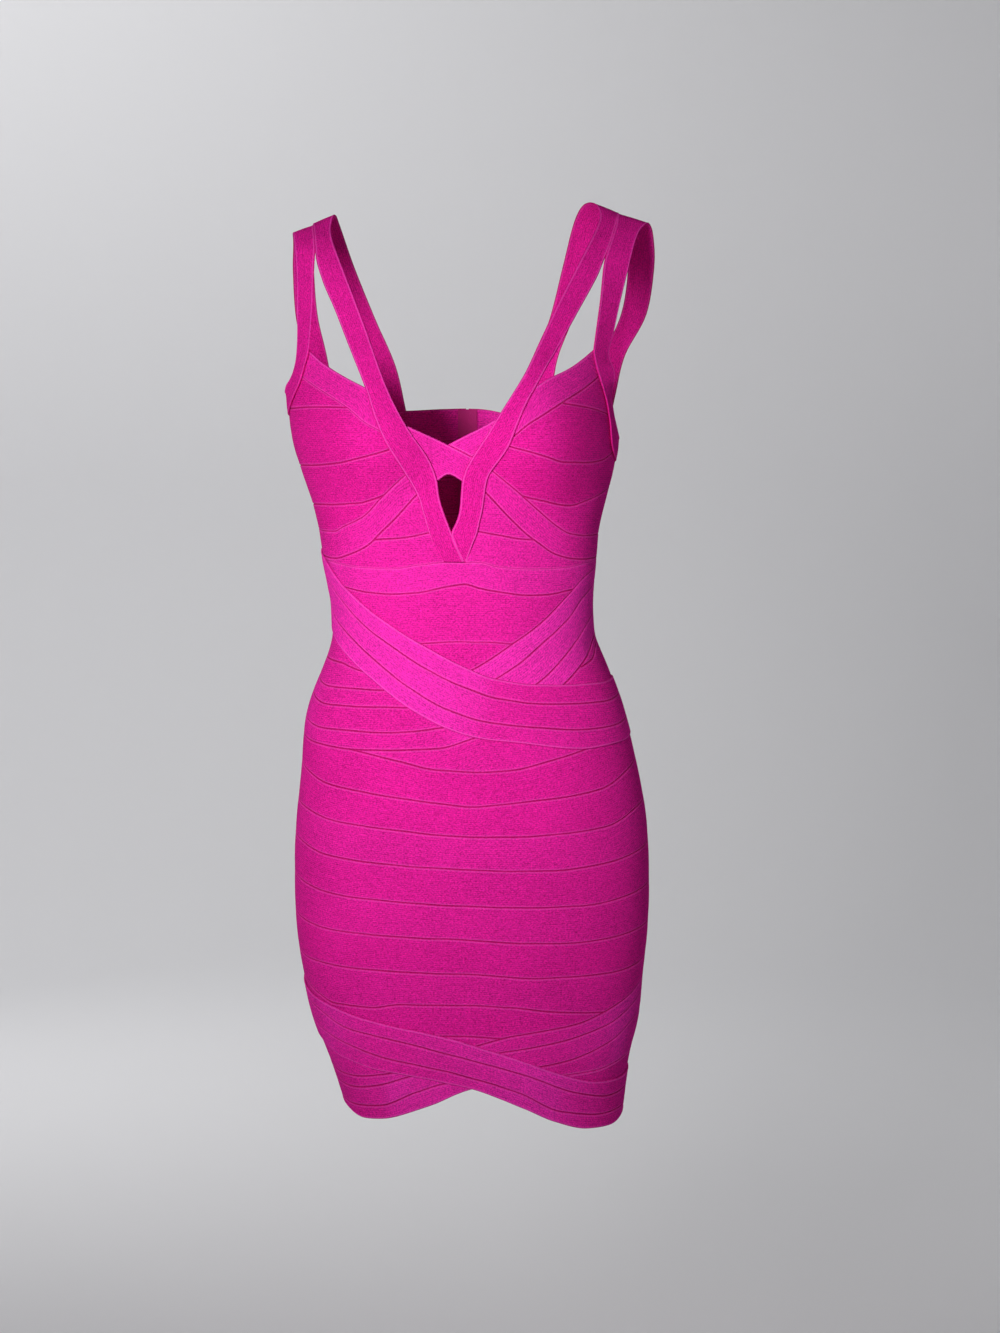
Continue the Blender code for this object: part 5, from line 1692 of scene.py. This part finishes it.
class NodeModifier:
    """Geometry Nodes tree on a mesh, turned into a plain mesh once its inputs are set."""

    def __init__(self, name: str, sizes: dict[str, float], counts: dict[str, int]) -> None:
        """Start a tree with named inputs.

        Args:
            name: The tree's name.
            sizes: Its lengths and other numbers, by name.
            counts: Its whole numbers, by name.
        """
        self.tree = bpy.data.node_groups.new(name, "GeometryNodeTree")
        self.values = {**sizes, **counts}
        face = self.tree.interface
        face.new_socket("Geometry", in_out="INPUT", socket_type="NodeSocketGeometry")
        for names, kind in ((sizes, "NodeSocketFloat"), (counts, "NodeSocketInt")):
            for label in names:
                face.new_socket(label, in_out="INPUT", socket_type=kind)
        face.new_socket("Geometry", in_out="OUTPUT", socket_type="NodeSocketGeometry")
        self.nodes = Nodes(self.tree)
        self.inputs = self.nodes.add("NodeGroupInput").outputs

    def points_along(self, pitch: NodeSocket) -> NodeSocket:
        """Points along the guide's edges.

        Args:
            pitch: Distance between them.
        Returns:
            The points.
        """
        curve = self.nodes.add("GeometryNodeMeshToCurve", {"Mesh": self.inputs["Geometry"]})
        even = self.nodes.add("GeometryNodeResampleCurve", mode="LENGTH")
        self.nodes.fill(even, {"Curve": curve.outputs[0], "Length": pitch})
        return even.outputs[0]

    def end(self, copies: Node, finish: Material) -> None:
        """Close the tree: copies are made real and get their finish.

        Args:
            copies: The node that places them.
            finish: Their material.
        """
        real = self.nodes.add("GeometryNodeRealizeInstances", {0: copies.outputs[0]})
        dress = self.nodes.add("GeometryNodeSetMaterial", {"Geometry": real.outputs[0], "Material": finish})
        self.nodes.add("NodeGroupOutput", {0: dress.outputs[0]})

    def apply(self, name: str, guide: Mesh) -> Object:
        """Run the tree on a guide and keep what it makes.

        Args:
            name: The new piece's name.
            guide: The mesh that the tree reads.
        Returns:
            The piece, a plain mesh.
        """
        carrier = put_in_scene(name, guide)
        modifier = carrier.modifiers.new(name, "NODES")
        modifier.node_group = self.tree
        for item in self.tree.interface.items_tree:
            if item.item_type == "SOCKET" and item.in_out == "INPUT" and item.name in self.values:
                modifier[item.identifier] = self.values[item.name]
        made = finished_mesh(carrier)
        carrier.modifiers.remove(modifier)
        carrier.data = made
        made.name = name
        bpy.data.meshes.remove(guide)
        return carrier


def polyline_mesh(name: str, lines: list[Array]) -> Mesh:
    """Mesh of edges along lines.

    Args:
        name: The mesh's name.
        lines: Points of each line.
    Returns:
        The mesh.
    """
    points, edges, start = [], [], 0
    for line in lines:
        points += line.tolist()
        edges += [(start + i, start + i + 1) for i in range(len(line) - 1)]
        start += len(line)
    mesh = bpy.data.meshes.new(name)
    mesh.from_pydata(points, edges, [])
    return mesh


@dataclass
class LinkingStitches:
    """Loops of thread that link the strips, down in the seams."""

    pitch: float = 3.2 * MM
    length: float = 1.9 * MM
    thickness: float = 0.34 * MM
    spread: float = 0.15  # how much longer or shorter a stitch may be, as a share
    seed: int = 7

    def build(self, seams: list[Array], finish: Material) -> Object:
        """Sew along the seams.

        Args:
            seams: Points along each seam.
            finish: The thread's material.
        Returns:
            All stitches as one piece.
        """
        tool = NodeModifier("linking_stitches", {"Pitch": self.pitch, "Length": self.length,
                                                 "Thickness": self.thickness}, {"Seed": self.seed})
        nodes, inputs = tool.nodes, tool.inputs
        loop = nodes.add("GeometryNodeMeshIcoSphere", {"Radius": 0.5, "Subdivisions": 1})
        tangent = nodes.add("GeometryNodeInputTangent").outputs[0]
        turn = nodes.add("FunctionNodeAlignRotationToVector", {"Vector": tangent}, axis="X")
        uneven = nodes.add("FunctionNodeRandomValue", {2: 1 - self.spread, 3: 1 + self.spread,
                                                       "Seed": inputs["Seed"]}, data_type="FLOAT")
        size = nodes.add("ShaderNodeCombineXYZ", {0: nodes.scaled(inputs["Length"], uneven.outputs[1]),
                                                  1: inputs["Thickness"], 2: inputs["Thickness"]})
        tool.end(nodes.add("GeometryNodeInstanceOnPoints", {
            "Points": tool.points_along(inputs["Pitch"]), "Instance": loop.outputs[0],
            "Rotation": turn.outputs[0], "Scale": size.outputs[0]}), finish)
        piece = tool.apply("linking_stitches", polyline_mesh("seam_lines", seams))
        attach(piece, "dress")
        log.info("linking stitches: %d faces", len(piece.data.polygons))
        return piece


@dataclass
class BackZip:
    """Zip at the centre back: tape, teeth, slider with its bridge, and pull tab."""

    figure: Figure
    top: float = -176.8 * MM
    end: float = -560 * MM
    tape_end: float = -564 * MM
    tape_half_width: float = 9 * MM
    tape_depth: float = 2.1 * MM
    tape_wall: float = 0.7 * MM
    row_step: float = 4 * MM
    tape_columns: int = 9
    tooth_pitch: float = 1.5 * MM
    tooth_size: Triple = (1.7 * MM, 1.1 * MM, 0.8 * MM)
    tooth_offset: float = 0.35 * MM
    tooth_depth: float = 0.75 * MM  # how far their middles lie outside the tape
    slider_top: float = -180 * MM
    slider_size: Triple = (7.0 * MM, 2.4 * MM, 11.0 * MM)
    # half of the slider's outline, as shares of its half width and its length
    slider_outline: tuple[Pair, ...] = (
        (0.62, 0.0), (0.93, -0.07), (1.0, -0.2), (1.0, -0.42), (0.72, -0.68), (0.66, -0.97), (0.55, -1.0))
    slider_gap: float = 0.3 * MM  # between the slider and the cloth
    slider_bevel: float = 0.35 * MM
    axis_reach: float = 1.3 * MM  # how far the pull tab's axis lies outside the slider
    axis_drop: float = 4.6 * MM  # and how far below its top
    bridge_radius: float = 0.6 * MM
    bridge_half: float = 2.4 * MM
    bridge_reach: float = 3.2 * MM
    bridge_foot: float = 0.4 * MM  # how deep its ends go into the slider
    bridge_steps: int = 12
    pull_wall: float = 0.9 * MM
    pull_bevel: float = 0.2 * MM
    # half outlines of the pull tab and its eye from the axis, in millimetres
    pull_outline: tuple[Pair, ...] = (
        (1.65, 0.5), (2.2, 0.0), (2.2, -5.2), (1.55, -7.6), (1.55, -17.0), (2.2, -20.5), (1.75, -24.0))
    pull_eye: tuple[Pair, ...] = ((1.2, -0.5), (1.2, -4.5))

    def tape(self, finish: Material) -> Object:
        """Woven tape behind the slot.

        Args:
            finish: Its material.
        Returns:
            The tape.
        """
        height = np.arange(self.top, self.tape_end, -self.row_step)
        place = np.linspace(-1, 1, self.tape_columns)
        depth = self.figure.point(180.0, height)[:, 1]
        angle = 180 + place * np.degrees(self.tape_half_width / depth)[:, None]
        outer = self.figure.raised(angle, height[:, None], -self.tape_depth)
        inner = self.figure.raised(angle, height[:, None], -self.tape_depth - self.tape_wall)
        along = np.broadcast_to(self.top - height[:, None], angle.shape)
        across = np.broadcast_to((place + 1) * self.tape_half_width, angle.shape)
        away = np.minimum(across, 2 * self.tape_half_width - across)
        grid = Grid(outer, inner, along, across, away, np.full(angle.shape, 0.5), np.zeros(angle.shape))
        return ClothShell("zip_tape_cloth", [grid]).build(finish, "zip_tape")

    def teeth(self, finish: Material) -> Object:
        """Two interlocking rows of teeth along the slot.

        Args:
            finish: Their material.
        Returns:
            All teeth as one piece.
        """
        start = self.slider_top - self.slider_size[2]
        height = np.arange(start, self.end, -self.row_step) + self.row_step / 2
        line = self.figure.raised(180.0, height, self.tooth_depth - self.tape_depth)
        tool = NodeModifier("zip_teeth", {"Pitch": self.tooth_pitch, "Offset": self.tooth_offset}, {})
        nodes, inputs = tool.nodes, tool.inputs
        tooth = nodes.add("GeometryNodeMeshCube", {"Size": self.tooth_size, "Vertices X": 3, "Vertices Y": 3,
                                                   "Vertices Z": 3})
        rounded = nodes.add("GeometryNodeSubdivisionSurface", {"Mesh": tooth.outputs[0], "Level": 1})
        index = nodes.add("GeometryNodeInputIndex").outputs[0]
        side = nodes.math("SUBTRACT", nodes.scaled(nodes.math("MODULO", index, 2.0), 2.0), 1.0)
        shift = nodes.add("ShaderNodeCombineXYZ", {0: nodes.scaled(side, inputs["Offset"])})
        points = tool.points_along(nodes.scaled(inputs["Pitch"], 0.5))
        moved = nodes.add("GeometryNodeSetPosition", {"Geometry": points, "Offset": shift.outputs[0]})
        tool.end(nodes.add("GeometryNodeInstanceOnPoints", {
            "Points": moved.outputs[0], "Instance": rounded.outputs[0]}), finish)
        piece = tool.apply("zip_teeth", polyline_mesh("tooth_line", [line]))
        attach(piece, "dress")
        log.info("zip teeth: %d faces", len(piece.data.polygons))
        return piece

    def slider_back(self) -> float:
        """Depth of the slider's inner face.

        Returns:
            Its y in metres.
        """
        heights = np.array((self.slider_top, self.slider_top - self.slider_size[2]))
        rows = np.array(SECTIONS, float)[::-1]
        depths = SmoothLine(rows[:, 0], rows[:, 4])(heights / MM)
        return float(depths.max() * MM + self.slider_gap)

    def axis(self) -> Vector:
        """Place of the axis on which the pull tab swings."""
        face = self.slider_back() + self.slider_size[1]
        return Vector((0, face + self.axis_reach, self.slider_top - self.axis_drop))

    @staticmethod
    def plate(name: str, loops: list[list[Pair]], depth: float, place: Vector, bevel: float) -> Mesh:
        """Upright flat plate with a rounded rim that faces the back.

        Args:
            name: The plate's name.
            loops: Its outline and its holes, as x and height in metres.
            depth: Its thickness.
            place: Where its own zero is.
            bevel: How far its rim is rounded.
        Returns:
            The plate.
        """
        outline = bpy.data.curves.new(name, "CURVE")
        outline.dimensions, outline.fill_mode, outline.extrude = "2D", "BOTH", depth / 2
        for loop in loops:
            spline = outline.splines.new("POLY")
            spline.points.add(len(loop) - 1)
            spline.use_cyclic_u = True
            for point, (x, z) in zip(spline.points, loop):
                point.co = (x, z, 0, 1)
        mesh = curve_mesh(outline)
        model = bmesh.new()
        model.from_mesh(mesh)
        bmesh.ops.remove_doubles(model, verts=model.verts, dist=0.01 * MM)
        bmesh.ops.dissolve_limit(model, angle_limit=math.radians(1), verts=model.verts, edges=model.edges)
        bmesh.ops.recalc_face_normals(model, faces=model.faces)
        rim = [edge for edge in model.edges
               if len(edge.link_faces) == 2 and edge.calc_face_angle(0) > math.radians(60)]
        bmesh.ops.bevel(model, geom=rim, offset=bevel, segments=3, profile=0.5, affect="EDGES")
        model.transform(Matrix.Translation(place) @ Matrix.Rotation(math.radians(90), 4, "X"))
        model.to_mesh(mesh)
        model.free()
        mesh.shade_smooth()
        mesh.set_sharp_from_angle(angle=math.radians(40))
        return mesh

    def slider(self, finish: Material) -> Object:
        """Slider body with shoulders, and its bridge.

        Args:
            finish: Its material.
        Returns:
            The slider as one piece.
        """
        width, depth, length = self.slider_size
        right = [(x * width / 2, z * length) for x, z in self.slider_outline]
        outline = [(-x, z) for x, z in right] + right[::-1]
        place = Vector((0, self.slider_back() + depth / 2, self.slider_top))
        body = self.plate("zip_slider_body", [outline], depth, place, self.slider_bevel)
        axis, face = self.axis(), self.slider_back() + depth
        points = []
        for step in range(self.bridge_steps + 1):
            turn = math.pi * step / self.bridge_steps
            at_foot = step in (0, self.bridge_steps)
            reach = -self.bridge_foot if at_foot else math.sin(turn) ** 0.55 * self.bridge_reach
            points.append(Vector((0, face + reach, axis.z + self.bridge_half * math.cos(turn))))
        bridge = self.bar("zip_slider_bridge", points, self.bridge_radius)
        model = bmesh.new()
        for part in (body, bridge):
            model.from_mesh(part)
        mesh = bpy.data.meshes.new("zip_slider_metal")
        model.to_mesh(mesh)
        model.free()
        mesh.materials.append(finish)
        piece = put_in_scene("zip_slider_metal", mesh)
        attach(piece, "dress")
        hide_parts("zip_slider")
        return piece

    @staticmethod
    def bar(name: str, points: list[Vector], radius: float) -> Mesh:
        """Round bar along points.

        Args:
            name: The bar's name.
            points: What it runs through.
            radius: Its radius.
        Returns:
            The bar.
        """
        path = bpy.data.curves.new(name, "CURVE")
        path.dimensions, path.bevel_depth, path.bevel_resolution, path.use_fill_caps = "3D", radius, 3, True
        spline = path.splines.new("POLY")
        spline.points.add(len(points) - 1)
        for place, point in zip(spline.points, points):
            place.co = (*point, 1)
        mesh = curve_mesh(path)
        mesh.shade_smooth()
        return mesh

    def pull(self, finish: Material) -> Object:
        """Pull tab that hangs on the bridge by its eye.

        Args:
            finish: Its material.
        Returns:
            The tab.
        """
        loops = []
        for half in (self.pull_outline, self.pull_eye):
            loops.append([(-x * MM, z * MM) for x, z in half] + [(x * MM, z * MM) for x, z in half[::-1]])
        mesh = self.plate("zip_pull_metal", loops, self.pull_wall, self.axis(), self.pull_bevel)
        mesh.materials.append(finish)
        piece = put_in_scene("zip_pull_metal", mesh)
        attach(piece, "pull")
        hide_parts("zip_pull")
        return piece


@dataclass(frozen=True)
class Lamp:
    """Soft square lamp."""

    name: str
    place: Triple
    aim: Triple
    size: float
    power: float
    spread: float = 180.0
    colour: Triple = (1.0, 1.0, 1.0)

    def build(self) -> None:
        """Put the lamp in the scene."""
        light = bpy.data.lights.new(self.name, "AREA")
        light.size, light.energy, light.color = self.size, self.power, self.colour
        light.spread = math.radians(self.spread)
        lamp = put_in_scene(self.name, light)
        lamp.location = self.place
        lamp.rotation_euler = (Vector(self.aim) - Vector(self.place)).to_track_quat("-Z", "Y").to_euler()
        lamp.visible_camera = False


@dataclass
class Studio:
    """Plain pale floor that sweeps up behind, soft light and the camera."""

    floor: float = -1.32
    radius: float = 4.2
    sweep: float = 1.1
    wall_top: float = 2.6
    turns: int = 96  # points round the backdrop
    sweep_steps: int = 16
    backdrop_colour: Colour = (0.80, 0.80, 0.815, 1.0)
    room_colour: Colour = (0.93, 0.95, 1.0, 1.0)
    room_light: float = 0.035
    camera_place: Triple = (0.031, -2.2, -0.263)
    camera_tilt: float = 86.03
    lens: float = 64.76
    lamps: tuple[Lamp, ...] = (
        Lamp("key", (-0.48, -1.45, -0.18), (0.02, 0.0, -0.33), 0.34, 2.5, 60.0, (1.0, 0.985, 0.97)),
        Lamp("front", (0.95, -2.45, 0.05), (0.0, 0.0, -0.30), 0.8, 0.4),
        Lamp("back_right", (2.5, 1.5, 0.3), (0.05, 0.0, -0.4), 1.3, 5.5),
        Lamp("back_left", (-1.5, 2.3, 0.2), (0.0, 0.0, -0.35), 1.0, 8.0),
        Lamp("far_wash", (0.8, -1.9, 2.1), (0.8, -4.2, -0.2), 1.8, 8.0),
        Lamp("wall_wash", (-1.2, 1.6, 1.9), (-1.2, 4.2, -0.4), 1.8, 62.0),
    )

    def backdrop(self) -> Object:
        """Round floor whose rim curves up into a wall.

        Returns:
            The backdrop.
        """
        profile = [(0.001, self.floor), (1.2, self.floor), (self.radius - self.sweep, self.floor)]
        for step in range(1, self.sweep_steps + 1):
            turn = math.pi / 2 * step / self.sweep_steps
            profile.append((self.radius - self.sweep + self.sweep * math.sin(turn),
                            self.floor + self.sweep * (1 - math.cos(turn))))
        profile.append((self.radius, self.wall_top))
        turns = self.turns
        points = [(r * math.cos(math.tau * i / turns), r * math.sin(math.tau * i / turns), z)
                  for r, z in profile for i in range(turns)]
        faces = []
        for row in range(0, (len(profile) - 1) * turns, turns):
            for i in range(turns):
                after = (i + 1) % turns
                faces.append((row + i, row + after, row + turns + after, row + turns + i))
        faces.append(tuple(range(turns))[::-1])
        mesh = bpy.data.meshes.new("pale_floor")
        mesh.from_pydata(points, [], [face[::-1] for face in faces])
        mesh.shade_smooth()
        material, nodes, shader = plain_material("pale_floor")
        nodes.fill(shader, {"Base Color": self.backdrop_colour, "Roughness": 0.9})
        mesh.materials.append(material)
        piece = put_in_scene("pale_floor", mesh)
        return piece

    def build(self) -> None:
        """Set up floor, lamps, surroundings and camera."""
        self.backdrop()
        for lamp in self.lamps:
            lamp.build()
        world = bpy.data.worlds.new("soft_room")
        world.use_nodes = True
        surroundings = world.node_tree.nodes["Background"]
        Nodes(world.node_tree).fill(surroundings, {"Color": self.room_colour, "Strength": self.room_light})
        bpy.context.scene.world = world
        bpy.context.scene.view_settings.view_transform = "Standard"
        data = bpy.data.cameras.new("camera")
        data.lens, data.sensor_width, data.sensor_fit = self.lens, 36.0, "AUTO"
        data.clip_start, data.clip_end = 0.05, 40.0
        camera = put_in_scene("camera", data)
        camera.location = self.camera_place
        camera.rotation_euler = (math.radians(self.camera_tilt), 0, 0)
        bpy.context.scene.camera = camera


# Soft unevenness of the worn cloth.
CREASES = (
    # start, stop, width, depth
    Crease((-88, -352), (-62, -372), 7.0, 0.9),
    Crease((-89, -395), (-66, -418), 8.0, 1.1),
    Crease((-86, -432), (-60, -447), 9.0, 0.8),
    Crease((62, -352), (89, -340), 7.0, 0.8),
    Crease((66, -400), (88, -376), 8.0, 1.0),
    Crease((-60, -800), (-44, -716), 16.0, 0.9),
    Crease((48, -806), (60, -716), 18.0, 0.9),
    Crease((-178, -352), (-118, -372), 9.0, 1.0),
    Crease((118, -366), (176, -350), 9.0, 1.0),
    Crease((-172, -392), (-110, -404), 10.0, 1.1),
    Crease((112, -400), (172, -392), 10.0, 1.1),
    Crease((-150, -800), (-128, -716), 20.0, 0.9),
    Crease((126, -806), (148, -716), 20.0, 0.9),
)


def main() -> None:
    """Build the dress, its zip and the studio round it."""
    logging.basicConfig(level=logging.INFO, format="%(name)s: %(message)s")
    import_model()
    figure = Figure(creases=CREASES)
    maker = StripMaker(figure, SeamChart())
    knit = BandageKnit().make()
    body = DressBody(maker)
    for pieces in (body.front(), body.back()):
        for node, grids in pieces.items():
            ClothShell(node + "_cloth", grids).build(knit, node)
    straps = Straps(figure)
    for name in STRAPS:
        ClothShell(name + "_cloth", [straps.grid(name)]).build(knit, name)
    LinkingStitches().build(maker.seams, SewingThread().make())
    back_zip = BackZip(figure)
    back_zip.tape(TapeWeave().make())
    lacquer = ZipLacquer().make()
    back_zip.teeth(ZipLacquer(name="zip_teeth_nylon", metallic=0.0, roughness=0.4).make())
    back_zip.slider(lacquer)
    back_zip.pull(lacquer)
    Studio().build()


if __name__ == "__main__":
    main()
